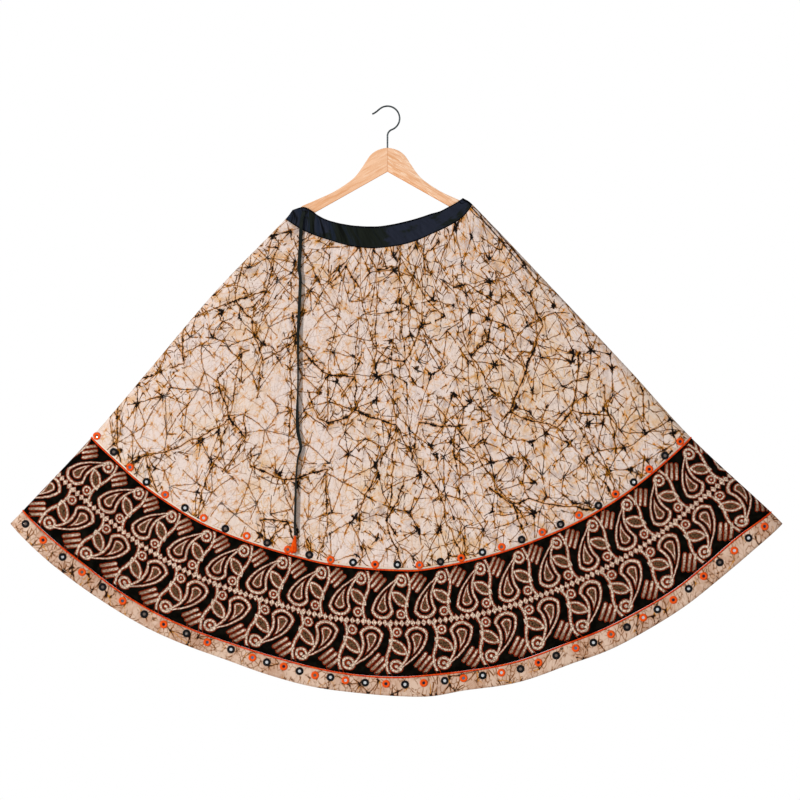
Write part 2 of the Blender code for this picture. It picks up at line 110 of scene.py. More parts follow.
# The drawstring: a flat woven tape, dark green to black, 7 mm wide. It leaves an eyelet near
# the band's left end, hangs free down the front, turning a little as it goes, and ends in
# its tassel. The stops are the tape's own route, as x, y, z and twist in degrees.
TAPE_WIDTH = 0.007
TAPE_THICKNESS = 0.0013
TAPE_LENGTH = 0.65
TAPE_RIB = 0.0011
TAPE_ROUTE = [
    (-0.1660, -0.01095, -0.2090, 0),
    (-0.1680, -0.01103, -0.2150, 0),
    (-0.1705, -0.01206, -0.2240, 0),
    (-0.1725, -0.01338, -0.2400, 0),
    (-0.1745, -0.01373, -0.2900, 5),
    (-0.1765, -0.01382, -0.3230, 14),
    (-0.1740, -0.01392, -0.3420, 30),
    (-0.1750, -0.01419, -0.3800, 24),
    (-0.1785, -0.01473, -0.4560, 40),
    (-0.1785, -0.01517, -0.5180, 62),
    (-0.1790, -0.01573, -0.5700, 64),
    (-0.1800, -0.01614, -0.6150, 30),
    (-0.1785, -0.01645, -0.6500, 12),
    (-0.1730, -0.01680, -0.6800, 34),
    (-0.1790, -0.01713, -0.7050, 58),
    (-0.1825, -0.01766, -0.7450, 60),
    (-0.1835, -0.01821, -0.7900, 52),
    (-0.1845, -0.01876, -0.8300, 50),
    (-0.1840, -0.01907, -0.8560, 46),
]


def unit(rows):
    return rows / np.linalg.norm(rows, axis=1)[:, None]


def run_of(points):
    """How far along a line each of its points lies."""
    steps = np.linalg.norm(np.diff(points, axis=0), axis=1)
    return np.concatenate([[0.0], np.cumsum(steps)])


def smooth_path(stops, count):
    """Points evenly along one smooth curve through the stops."""
    stops = np.array(stops, float)
    padded = np.vstack([stops[:1], stops, stops[-1:]])
    fine = []
    for a, b, c, d in zip(padded, padded[1:], padded[2:], padded[3:]):
        for t in np.arange(12) / 12:
            fine.append(
                0.5 * (2 * b + (c - a) * t + (2 * a - 5 * b + 4 * c - d) * t**2
                       + (3 * b - a - 3 * c + d) * t**3)
            )
    fine = np.array(fine + [stops[-1]])
    gone = run_of(fine[:, :3])
    wanted = np.linspace(0.0, gone[-1], count)
    return np.stack([np.interp(wanted, gone, side) for side in fine.T], axis=1)


def mesh_through(name, points, closed, maps):
    """A mesh of quads through rows of points, with maps given point by point.

    A closed row joins its last point to its first, and its maps have one more column.
    """
    rows, across = points.shape[:2]
    spans = across if closed else across - 1
    row, column = np.mgrid[0:rows - 1, 0:spans]
    after = (column + 1) % across
    corners = np.stack(
        [row * across + column, (row + 1) * across + column,
         (row + 1) * across + after, row * across + after], axis=-1)
    mesh = bpy.data.meshes.new(name)
    mesh.from_pydata(points.reshape(-1, 3).tolist(), [], corners.reshape(-1, 4).tolist())
    for title, places in maps.items():
        layer = mesh.uv_layers.new(name=title)
        at_corners = np.stack(
            [places[row, column], places[row + 1, column],
             places[row + 1, column + 1], places[row, column + 1]], axis=2)
        layer.data.foreach_set("uv", at_corners.astype(np.float32).ravel())
    mesh.shade_smooth()
    return mesh


def hang_up(name, mesh, finish):
    """Puts a mesh into the scene as a piece on the skirt."""
    piece = bpy.data.objects.new(name, mesh)
    bpy.context.scene.collection.objects.link(piece)
    piece.data.materials.append(finish)
    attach(piece, "root")
    return piece


def close_up(mesh):
    """Joins a tube's seam, fills its open ends and turns its faces outwards."""
    shape = bmesh.new()
    shape.from_mesh(mesh)
    bmesh.ops.remove_doubles(shape, verts=shape.verts, dist=0.00002)
    bmesh.ops.holes_fill(shape, edges=[edge for edge in shape.edges if edge.is_boundary])
    bmesh.ops.recalc_face_normals(shape, faces=shape.faces)
    shape.to_mesh(mesh)
    shape.free()


def finish_of(name, roughness, gloss=0.06):
    """Starts a material. The nodes made after this are its own."""
    global tree, shader
    made = bpy.data.materials.new(name)
    made.use_nodes = True
    tree = made.node_tree
    shader = tree.nodes["Principled BSDF"]
    shader.inputs["Roughness"].default_value = roughness
    shader.inputs["Specular IOR Level"].default_value = gloss
    return made


def add_node(kind, inputs=None, **settings):
    made = tree.nodes.new(kind)
    for name, value in settings.items():
        setattr(made, name, value)
    for socket, value in (inputs or {}).items():
        if isinstance(value, bpy.types.NodeSocket):
            tree.links.new(value, made.inputs[socket])
        else:
            made.inputs[socket].default_value = value
    return made


def paint(colour):
    tree.links.new(colour, shader.inputs["Base Color"])


def raise_by(height, distance, strength):
    bump = add_node(
        "ShaderNodeBump", {"Height": height, "Distance": distance, "Strength": strength})
    tree.links.new(bump.outputs["Normal"], shader.inputs["Normal"])


def map_of(name):
    return add_node("ShaderNodeUVMap", uv_map=name).outputs[0]


def own_place():
    return add_node("ShaderNodeTexCoord").outputs["Object"]


def sides(place):
    """The x, y and z of a place."""
    return add_node("ShaderNodeSeparateXYZ", {0: place}).outputs


def maths(operation, a, b=0.0, c=0.0, clamp=False):
    return add_node(
        "ShaderNodeMath", {0: a, 1: b, 2: c}, operation=operation, use_clamp=clamp
    ).outputs[0]


def in_turn(operation, found, *others):
    for value in others:
        found = maths(operation, found, value)
    return found


def plus(*values):
    return in_turn("ADD", *values)


def times(*values):
    return in_turn("MULTIPLY", *values)


def size_of(value):
    return maths("ABSOLUTE", value)


def eased(value, low, high, at_low=0.0, at_high=1.0):
    """A value that turns softly from at_low to at_high as the first goes from low to high."""
    return add_node(
        "ShaderNodeMapRange",
        {"Value": value, "From Min": low, "From Max": high,
         "To Min": at_low, "To Max": at_high},
        interpolation_type="SMOOTHSTEP",
    ).outputs["Result"]


def noise(place, scale, detail=3.0, roughness=0.6):
    return add_node(
        "ShaderNodeTexNoise",
        {"Vector": place, "Scale": scale, "Detail": detail, "Roughness": roughness},
    ).outputs["Fac"]


def dye(level):
    """The light that a screen gives for a level from 0 to 255."""
    share = level / 255
    return share / 12.92 if share <= 0.04045 else ((share + 0.055) / 1.055) ** 2.4


def mixed(share, *colours):
    """The second colour laid over the first. New colours are levels as a screen shows them."""
    low, high = (
        colour if isinstance(colour, bpy.types.NodeSocket) else (*map(dye, colour), 1.0)
        for colour in colours)
    return add_node(
        "ShaderNodeMix", {"Factor": share, 6: low, 7: high}, data_type="RGBA").outputs[2]


def tape_weave():
    """A narrow herringbone tape: slanting ribs that turn at its middle."""
    made = finish_of("tape_weave", 0.60, 0.16)
    along, across, _ = sides(map_of("tape"))
    rib = maths("SINE", times(plus(along, size_of(across)), 2 * math.pi / TAPE_RIB))
    worn = eased(noise(own_place(), 55.0), 0.40, 0.72)
    colour = mixed(worn, (14, 21, 19), (30, 36, 30))
    colour = mixed(eased(rib, -1.0, 1.0, 0.0, 0.30), colour, (5, 7, 6))
    paint(colour)
    raise_by(rib, 0.00025, 0.7)
    return made


def woven_tape():
    path = smooth_path(TAPE_ROUTE, 200)
    spine = path[:, :3]
    turn = np.radians(path[:, 3])
    across = np.stack([np.cos(turn), -np.sin(turn), np.zeros_like(turn)], axis=1)
    heading = unit(np.gradient(spine, axis=0))
    across = unit(across - heading * (across * heading).sum(axis=1)[:, None])
    out = np.cross(across, heading)
    around = np.radians([0, 25, 60, 90, 120, 155, 180, 205, 240, 270, 300, 335])
    wide = np.sign(np.cos(around)) * np.abs(np.cos(around)) ** 0.45 * TAPE_WIDTH / 2
    deep = np.sign(np.sin(around)) * np.abs(np.sin(around)) ** 0.75 * TAPE_THICKNESS / 2
    points = (spine[:, None] + across[:, None] * wide[None, :, None]
              + out[:, None] * deep[None, :, None])
    gone = np.linspace(0.0, TAPE_LENGTH, len(spine))
    unrolled = np.append(wide, wide[0])
    maps = {"tape": np.stack(np.broadcast_arrays(gone[:, None], unrolled[None]), axis=-1)}
    mesh = mesh_through("woven_tape", points, True, maps)
    close_up(mesh)
    return hang_up("woven_tape", mesh, tape_weave()), spine


drawstring, tape_spine = woven_tape()
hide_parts("drawstring")


# The tassel: a square of orange-red cotton folded down round the end of the tape into soft
# pleats and stitched at the top. Its right side, turning to the back, is painted olive-brown as
# shade.
TASSEL_TOP = (-0.1840, -0.01907, -0.8563)
TASSEL_LENGTH = 0.034
TASSEL_WIDTH = 0.0140
TASSEL_PLEATS = 7
SHADED_PLEAT = 0.93


def minus(a, b):
    return maths("SUBTRACT", a, b)


def falling(value, low, high):
    return eased(value, low, high, 1.0, 0.0)


def tassel_cotton():
    made = finish_of("tassel_cotton", 0.85)
    around, _, _ = sides(map_of("pleats"))
    place = own_place()
    shade = eased(noise(place, 160.0), 0.35, 0.70)
    colour = mixed(shade, (198, 50, 4), (226, 80, 8))
    # painted shade: olive-brown down the tassel's right side, round the shaded pleat
    edge = size_of(minus(around, SHADED_PLEAT))
    dark = falling(plus(edge, times(noise(place, 300.0, 2.0, 0.5), 0.05)), 0.045, 0.085)
    colour = mixed(dark, colour, (70, 60, 30))
    paint(colour)
    raise_by(noise(place, 900.0, 2.0, 0.5), 0.0003, 0.6)
    return made


def folded_tassel():
    turn = np.linspace(0.0, 2 * np.pi, 85)[:-1]
    drop = np.linspace(0.0, 1.0, 28)
    open_out = 0.0015 + (TASSEL_WIDTH / 2 - 0.0015) * drop
    belly = 1.0 + 0.16 * np.sin(np.pi * drop)
    pleat = (np.cos(TASSEL_PLEATS * turn) + 0.35 * np.cos(3 * turn + 1.0)) * 0.11
    radius = (open_out * belly)[:, None] * (1.0 + drop[:, None] * pleat[None])
    hem = 0.0016 * np.cos(2 * turn + 0.6) + 0.0008 * np.cos(5 * turn)
    x = TASSEL_TOP[0] + radius * np.cos(turn) - 0.0042 * drop[:, None]
    y = TASSEL_TOP[1] + radius * np.sin(turn) * 0.55
    z = TASSEL_TOP[2] - TASSEL_LENGTH * drop[:, None] + (drop**3)[:, None] * hem[None]
    outer = np.stack([x, y, z], axis=-1)
    middle = outer.mean(axis=1, keepdims=True)
    inner = (middle + (outer - middle) * 0.80)[::-1][:20]
    inner[:, :, 2] += 0.0006
    points = np.concatenate([outer, inner])
    share = np.linspace(0.0, 1.0, len(turn) + 1)
    rows = np.linspace(0.0, 1.0, len(points))
    maps = {"pleats": np.stack(np.broadcast_arrays(share[None], rows[:, None]), axis=-1)}
    mesh = mesh_through("folded_tassel", points[:, ::-1], True, maps)
    close_up(mesh)
    return hang_up("folded_tassel", mesh, tassel_cotton())


tassel = folded_tassel()
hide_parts("tassel")


# The body: crackle batik cotton, cut as one wide fan and sewn down its left side, so that
# it falls as a flattened tube from the band to the first piping. Wax that cracked in the
# dye bath leaves the dark and ochre veins. It hangs in long soft folds and a few creases.
BAND_END = 0.044
BORDER_START = 0.689
BORDER_END = 0.900
HEM_END = 0.938
SEAM_GAP = 0.0003
PIPING_ROOM = 0.0018
COTTON_THICKNESS = 0.0006

# Each ring of the outline is an arc that sags below the line between the two side folds:
# down, left x and z, right x and z, sag, half depth, reach of the side fold
RINGS = [
    (0.000, -0.190, -0.206, 0.151, -0.182, 0.045, 0.0082, 0.008),
    (BAND_END, -0.204, -0.224, 0.170, -0.195, 0.072, 0.0082, 0.008),
    (0.271, -0.343, -0.368, 0.332, -0.365, 0.143, 0.0095, 0.020),
    (0.497, -0.477, -0.526, 0.483, -0.525, 0.211, 0.0115, 0.034),
    (BORDER_START, -0.592, -0.661, 0.607, -0.661, 0.267, 0.0130, 0.045),
    (BORDER_END, -0.729, -0.807, 0.767, -0.810, 0.331, 0.0145, 0.052),
    (HEM_END, -0.754, -0.833, 0.790, -0.833, 0.344, 0.0150, 0.055),
]

# How far the cloth is drawn in from those arcs, in millimetres: share of the way across,
# then at the waist, the band's seam, the border's start and end, and the hem
DRAW_INS = [
    (0.00, 0.0, 0.0, 0.0, 0.0, 0.0),
    (0.05, 14.0, -0.2, 2.5, 3.0, 1.5),
    (0.10, 13.3, 0.0, 1.4, 6.5, 4.7),
    (0.15, 8.0, 1.0, 1.8, 4.5, 7.0),
    (0.20, 4.5, 2.2, 1.4, 5.0, 8.2),
    (0.25, 3.0, 2.8, 4.0, 8.0, 12.3),
    (0.30, 2.0, 1.8, 6.4, 10.7, 14.6),
    (0.35, 1.3, 0.9, 7.0, 10.0, 10.6),
    (0.40, 0.8, -0.1, 4.6, 5.6, 5.6),
    (0.45, 0.4, -0.9, 4.2, 1.4, 4.0),
    (0.50, 0.0, -0.7, 2.6, 0.4, 0.6),
    (0.54, 0.6, -0.5, 0.2, 2.6, -2.2),
    (0.58, 1.1, -0.7, 3.2, 3.4, 2.8),
    (0.64, 1.8, -0.9, 6.4, 2.8, -0.8),
    (0.70, 2.0, -0.4, 7.8, 8.6, 4.2),
    (0.75, 2.0, 0.0, 7.4, 8.2, 1.6),
    (0.80, 1.5, -1.2, 6.0, 8.8, 3.2),
    (0.85, -0.9, -3.2, 4.8, 9.0, 4.6),
    (0.90, -0.7, -5.2, 4.0, 13.0, 7.6),
    (0.95, -1.0, -4.2, 3.0, 13.6, 6.6),
    (1.00, 0.0, 0.0, 0.0, 0.0, 0.0),
]
DRAW_IN_REACH = 0.30

# The long folds of each face: share across at the waist and at the hem, width, height, and
# how far down they start to form
FRONT_FOLDS = [
    (0.09, 0.07, 0.034, 0.0024, 0.20),
    (0.17, 0.24, 0.040, 0.0040, 0.10),
    (0.30, 0.34, 0.046, 0.0026, 0.42),
    (0.40, 0.42, 0.036, 0.0022, 0.55),
    (0.475, 0.51, 0.042, 0.0038, 0.16),
    (0.60, 0.60, 0.040, 0.0026, 0.46),
    (0.68, 0.68, 0.036, 0.0042, 0.24),
    (0.78, 0.77, 0.044, 0.0024, 0.50),
    (0.88, 0.86, 0.040, 0.0032, 0.30),
    (0.95, 0.94, 0.028, 0.0022, 0.06),
]
BACK_FOLDS = [
    (0.07, 0.09, 0.036, 0.0026, 0.16),
    (0.19, 0.18, 0.042, 0.0034, 0.34),
    (0.28, 0.29, 0.040, 0.0040, 0.12),
    (0.39, 0.37, 0.038, 0.0024, 0.50),
    (0.50, 0.47, 0.046, 0.0036, 0.22),
    (0.58, 0.58, 0.036, 0.0024, 0.44),
    (0.67, 0.66, 0.042, 0.0040, 0.28),
    (0.77, 0.79, 0.038, 0.0026, 0.52),
    (0.90, 0.90, 0.036, 0.0030, 0.18),
]

# Gathers that the drawstring pulls into the band: share at its upper and lower edge,
# width and height
FRONT_GATHERS = [
    (0.075, 0.070, 0.0050, 0.0013),
    (0.120, 0.135, 0.0045, 0.0016),
    (0.165, 0.190, 0.0048, 0.0018),
    (0.210, 0.250, 0.0046, 0.0017),
    (0.255, 0.315, 0.0050, 0.0016),
    (0.320, 0.385, 0.0060, 0.0014),
    (0.395, 0.465, 0.0060, 0.0012),
    (0.500, 0.550, 0.0070, 0.0008),
    (0.640, 0.665, 0.0065, 0.0008),
    (0.900, 0.905, 0.0060, 0.0010),
]
BACK_GATHERS = [
    (0.090, 0.080, 0.0050, 0.0014),
    (0.150, 0.150, 0.0048, 0.0015),
    (0.215, 0.230, 0.0050, 0.0017),
    (0.290, 0.310, 0.0052, 0.0014),
    (0.380, 0.410, 0.0060, 0.0012),
    (0.480, 0.500, 0.0056, 0.0012),
    (0.590, 0.600, 0.0060, 0.0010),
    (0.720, 0.715, 0.0058, 0.0012),
    (0.860, 0.850, 0.0060, 0.0010),
]
GATHER_FADE = 0.055

# Creases, from one end to the other as x and z, then width and height; a trough is negative
FRONT_CREASES = [
    (-0.159, -0.214, -0.163, -0.234, 0.0018, -0.0007),
    (-0.147, -0.216, -0.149, -0.248, 0.0018, -0.0008),
    (-0.139, -0.222, -0.132, -0.262, 0.0020, -0.0016),
    (-0.118, -0.228, -0.106, -0.272, 0.0022, -0.0018),
    (-0.094, -0.234, -0.068, -0.270, 0.0022, -0.0018),
    (-0.059, -0.236, -0.057, -0.276, 0.0020, -0.0015),
    (-0.037, -0.238, -0.006, -0.274, 0.0022, -0.0016),
    (0.067, -0.230, 0.071, -0.258, 0.0020, -0.0011),
    (-0.297, -0.546, -0.349, -0.830, 0.0060, -0.0016),
    (-0.031, -0.546, 0.001, -0.902, 0.0070, -0.0018),
    (0.191, -0.730, 0.237, -0.884, 0.0060, -0.0015),
    (0.173, -0.200, 0.305, -0.366, 0.0035, -0.0012),
    (0.163, -0.212, 0.290, -0.380, 0.0030, -0.0010),
    (0.156, -0.226, 0.262, -0.372, 0.0030, -0.0009),
    (-0.180, -0.300, -0.260, -0.440, 0.0050, -0.0010),
    (0.050, -0.300, 0.085, -0.520, 0.0060, -0.0009),
    (-0.090, -0.330, -0.130, -0.560, 0.0060, -0.0009),
    (-0.480, -0.720, -0.560, -0.860, 0.0070, -0.0016),
    (0.420, -0.600, 0.520, -0.820, 0.0070, -0.0014),
    (0.560, -0.720, 0.640, -0.860, 0.0060, -0.0012),
    (-0.170, -0.860, -0.190, -1.060, 0.0070, -0.0014),
    (0.110, -0.860, 0.130, -1.080, 0.0070, -0.0012),
]
BACK_CREASES = [
    (-0.250, -0.520, -0.310, -0.800, 0.0065, -0.0016),
    (0.020, -0.480, 0.010, -0.860, 0.0070, -0.0017),
    (0.230, -0.600, 0.300, -0.860, 0.0060, -0.0015),
    (-0.160, -0.240, -0.270, -0.400, 0.0035, -0.0011),
    (0.120, -0.260, 0.190, -0.420, 0.0040, -0.0011),
    (-0.060, -0.340, -0.080, -0.560, 0.0060, -0.0009),
    (0.470, -0.660, 0.560, -0.840, 0.0070, -0.0014),
    (-0.460, -0.680, -0.540, -0.860, 0.0070, -0.0014),
    (0.140, -0.880, 0.150, -1.070, 0.0070, -0.0013),
]

FRONT = (-1, FRONT_FOLDS, FRONT_GATHERS, FRONT_CREASES)
BACK = (1, BACK_FOLDS, BACK_GATHERS, BACK_CREASES)
FOLD_TURNS = np.radians([0, 11, 22, 33, 44, 56, 70])

# How the flat cut lies on its own map: turned by so many degrees, moved down in metres
FAN_TURN = 138.0
FAN_DROP = 0.12


def smooth_row(rows, wanted):
    """The columns of a table at `wanted`, on smooth curves through its rows."""
    rows = np.array(rows)
    at = rows[:, 0]
    index = np.clip(np.searchsorted(at, wanted) - 1, 0, len(rows) - 2)
    before = np.maximum(np.arange(len(rows)) - 1, 0)
    after = np.minimum(np.arange(len(rows)) + 1, len(rows) - 1)
    slopes = (rows[after] - rows[before]) / (at[after] - at[before])[:, None]
    gap = (at[index + 1] - at[index])[..., None]
    t = (wanted - at[index])[..., None] / gap
    ease = t * t * (3.0 - 2.0 * t)
    return (rows[index] + (rows[index + 1] - rows[index]) * ease
            + gap * t * (1.0 - t) ** 2 * slopes[index]
            - gap * t * t * (1.0 - t) * slopes[index + 1])


def soft_step(value):
    value = np.clip(value, 0.0, 1.0)
    return value * value * (3.0 - 2.0 * value)


def ridge(distance, width):
    return np.exp(-0.5 * (distance / width) ** 2)


def draw_in(down, share):
    """How far the cloth is drawn in from its ring's arc."""
    _, waist, seam, border_start, border_end, hem = np.moveaxis(
        smooth_row(DRAW_INS, share), -1, 0)
    at = [0.0, BAND_END, BORDER_START - DRAW_IN_REACH, BORDER_START, BORDER_END, HEM_END]
    by = [waist, seam, np.zeros_like(seam), border_start, border_end, hem]
    total = np.zeros_like(share)
    for low, high, first, last in zip(at, at[1:], by, by[1:]):
        inside = (down > low) | (low == 0.0)
        part = np.clip((down - low) / (high - low), 0.0, 1.0)
        total = np.where(inside, first + (last - first) * part, total)
    return total / 1000.0


def crease_depth(creases, x, z):
    total = np.zeros_like(x)
    for x0, z0, x1, z1, width, height in creases:
        run = np.array([x1 - x0, z1 - z0])
        length = np.hypot(*run)
        run = run / length
        along = ((x - x0) * run[0] + (z - z0) * run[1]) / length
        bend = 0.025 * length * np.sin(5.0 * along + 40.0 * x0)
        off = (x - x0) * run[1] - (z - z0) * run[0] + bend
        ends = soft_step(along / 0.22 + 0.1) * soft_step((1.0 - along) / 0.30 + 0.1)
        grown = 0.75 + 0.25 * np.sin(9.0 * along + 60.0 * z0)
        shape = ridge(off, width) - 0.45 * ridge(off - 2.2 * width, 1.3 * width)
        total += height * ends * grown * shape
    return total


def cloth_at(down, face, share, depth_share):
    """Points of the cloth's outer side, by how far down and what share of the way across.

    depth_share is 1 on the flat of the face and falls to 0 round the side fold.
    """
    sign, folds, gathers, creases = face
    _, left_x, left_z, right_x, right_z, sag, half_depth, reach = np.moveaxis(
        smooth_row(RINGS, down), -1, 0)
    wide, high = right_x - left_x, right_z - left_z
    half = np.hypot(wide, high) / 2
    radius = (half**2 + sag**2) / (2 * sag)
    centre_x = (left_x + right_x) / 2 - high / (2 * half) * (radius - sag)
    centre_z = (left_z + right_z) / 2 + wide / (2 * half) * (radius - sag)
    start = np.arctan2(left_z - centre_z, left_x - centre_x)
    swept = 2 * np.arcsin(half / radius)
    length = radius * swept
    angle = start + swept * share
    short = radius - draw_in(down, share)
    x = centre_x + short * np.cos(angle)
    z = centre_z + short * np.sin(angle)
    from_fold = np.minimum(share, 1.0 - share) * length
    taper = soft_step((from_fold / reach - 1.0) / 1.5)
    relief = np.zeros_like(x)
    for top, hem, width, height, starts in folds:
        formed = soft_step((down / HEM_END - starts) / (1.0 - starts))
        middle = top + (hem - top) * down / HEM_END
        relief += height * formed * ridge((share - middle) * length, width)
    along = np.minimum(down / BAND_END, 1.0)
    fade = soft_step(1.0 - (down - BAND_END) / GATHER_FADE)
    for top, seam, width, height in gathers:
        middle = top + (seam - top) * along
        relief += height * fade * ridge((share - middle) * length, width)
    relief += crease_depth(creases, x, z)
    depth = half_depth * depth_share + taper * relief
    return np.stack([x, sign * depth, z], axis=-1)


def ring_size(down):
    """The radius, length and side folds' reach of the ring at some way down."""
    _, left_x, left_z, right_x, right_z, sag, _, reach = np.moveaxis(
        smooth_row(RINGS, down), -1, 0)
    half = np.hypot(right_x - left_x, right_z - left_z) / 2
    radius = (half**2 + sag**2) / (2 * sag)
    return radius, 2 * radius * np.arcsin(half / radius), reach


def cloth_tube(name, downs, inner):
    """A cloth tube round the skirt between two rings, with its points row by row.

    Map "fan" is the cloth as it was cut, laid flat, and "band" is the distance round and down.
    """
    downs = np.asarray(downs, float)[:, None]
    radius, length, reach = ring_size(downs)
    rounded = reach * (1.0 - np.cos(FOLD_TURNS)) / length
    flat = np.linspace(0.0, 1.0, inner + 1)
    flat = reach / length + (1.0 - 2 * reach / length) * flat
    share = np.concatenate([rounded, flat, 1.0 - rounded[:, ::-1]], axis=1)
    stand = np.concatenate([np.sin(FOLD_TURNS), np.ones(inner + 1), np.sin(FOLD_TURNS)[::-1]])
    down = np.broadcast_to(downs, share.shape)
    front = cloth_at(down, FRONT, share, stand)
    back = cloth_at(down, BACK, share, stand)[:, ::-1][:, 1:-1]
    points = np.concatenate([front, back], axis=1)
    looped = np.concatenate([points, points[:, :1]], axis=1)
    steps = np.linalg.norm(np.diff(looped, axis=1), axis=2)
    gone = np.concatenate([np.zeros((len(downs), 1)), np.cumsum(steps, axis=1)], axis=1)
    turn = gone / radius - np.radians(FAN_TURN)
    fan = np.stack([radius * np.cos(turn), radius * np.sin(turn) - FAN_DROP], axis=-1)
    evenly = gone / gone[:, -1:] * gone[:, -1].mean()
    band = np.stack([evenly, np.broadcast_to(downs, gone.shape)], axis=-1)
    return mesh_through(name, points, True, {"fan": fan, "band": band})


def cloth_piece(name, downs, inner, finish, thickness, nodes):
    """A cloth tube hung up and given its thickness inwards."""
    mesh = cloth_tube(name, np.linspace(*downs), inner)
    piece = hang_up(name, mesh, finish)
    bpy.context.view_layer.objects.active = piece
    wall = piece.modifiers.new("cloth", "SOLIDIFY")
    wall.thickness = thickness
    wall.offset = -1.0
    wall.use_even_offset = True
    wall.use_quality_normals = True
    bpy.ops.object.modifier_apply(modifier=wall.name)
    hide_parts(*nodes)


def least(*values):
    return in_turn("MINIMUM", *values)


def most(*values):
    return in_turn("MAXIMUM", *values)


def scaled(value, by, add):
    return maths("MULTIPLY_ADD", value, by, add)


def vectors(operation, a, b=(0.0, 0.0, 0.0), scale=None):
    inputs = {0: a, "Scale": scale} if scale is not None else {0: a, 1: b}
    made = add_node("ShaderNodeVectorMath", inputs, operation=operation)
    number = operation in ("DISTANCE", "DOT_PRODUCT", "LENGTH")
    return made.outputs["Value" if number else "Vector"]


def streaks(place, waves, detail=3.0, roughness=0.6):
    """A noise drawn out, with so many waves a metre along each side."""
    return noise(vectors("MULTIPLY", place, waves), 1.0, detail, roughness)


def wandered(place, scale, reach, detail=2.0, roughness=0.6, by=None):
    """The place, moved a little by a noise, so that what is drawn on it wanders."""
    read_at = place if by is None else by
    colour = add_node(
        "ShaderNodeTexNoise",
        {"Vector": read_at, "Scale": scale, "Detail": detail, "Roughness": roughness},
    ).outputs["Color"]
    off = vectors("SUBTRACT", colour, (0.5, 0.5, 0.5))
    return vectors("ADD", place, vectors("MULTIPLY", off, (reach, reach, 0.0)))


def knot_near(place):
    made = add_node(
        "ShaderNodeTexVoronoi", {"Vector": place, "Scale": 1.0, "Randomness": 1.0},
        voronoi_dimensions="2D", feature="F1")
    return made.outputs["Position"], made.outputs["Color"]


def cracks(place, spacing, shift, kept):
    """Cracks that run from knot to knot: the distance to the nearest of each kept kind."""
    moved = vectors("SCALE", vectors("ADD", place, (*shift, 0.0)), scale=1.0 / spacing)
    knot, tone = knot_near(moved)
    cell = vectors("FLOOR", knot)
    out = vectors("SUBTRACT", moved, knot)
    from_knot = times(vectors("LENGTH", out), spacing)
    gaps = [None] * len(kept)
    for across, up in ((-1, -1), (-1, 0), (-1, 1), (0, -1), (0, 1), (1, -1), (1, 0), (1, 1)):
        middle = vectors("ADD", cell, (across + 0.5, up + 0.5, 0.0))
        other, other_tone = knot_near(middle)
        span = vectors("SUBTRACT", other, knot)
        share = maths(
            "DIVIDE", vectors("DOT_PRODUCT", out, span), vectors("DOT_PRODUCT", span, span),
            clamp=True)
        gap = vectors("DISTANCE", out, vectors("SCALE", span, scale=share))
        both = vectors("ADD", tone, other_tone)
        pair = maths("FRACT", vectors("DOT_PRODUCT", both, (17.3, 43.7, 29.1)))
        for index, (low, high) in enumerate(kept):
            away = size_of(minus(pair, (low + high) / 2))
            left_out = maths("GREATER_THAN", away, (high - low) / 2)
            felt = plus(gap, left_out)
            gaps[index] = felt if gaps[index] is None else least(gaps[index], felt)
    return [times(gap, spacing) for gap in gaps], from_knot, tone


def veins(place, spacing, shift):
    """A net of fine cracks: the distance to its nearest line."""
    moved = vectors("ADD", place, (*shift, 0.0))
    edge = add_node(
        "ShaderNodeTexVoronoi", {"Vector": moved, "Scale": 1.0 / spacing, "Randomness": 1.0},
        voronoi_dimensions="2D", feature="DISTANCE_TO_EDGE").outputs["Distance"]
    return times(edge, spacing)


def line(gap, half, *strengths):
    return times(falling(maths("DIVIDE", gap, half), 0.4, 1.7), *strengths)


# How far round the cloth, in metres: the shift that sets where it was crushed most, and the
# fold at the waist's right end
CRUSHED_AT = 0.20
RIGHT_FOLD = 0.8935
PLEATS = (150.0, 5.0, 0.0)


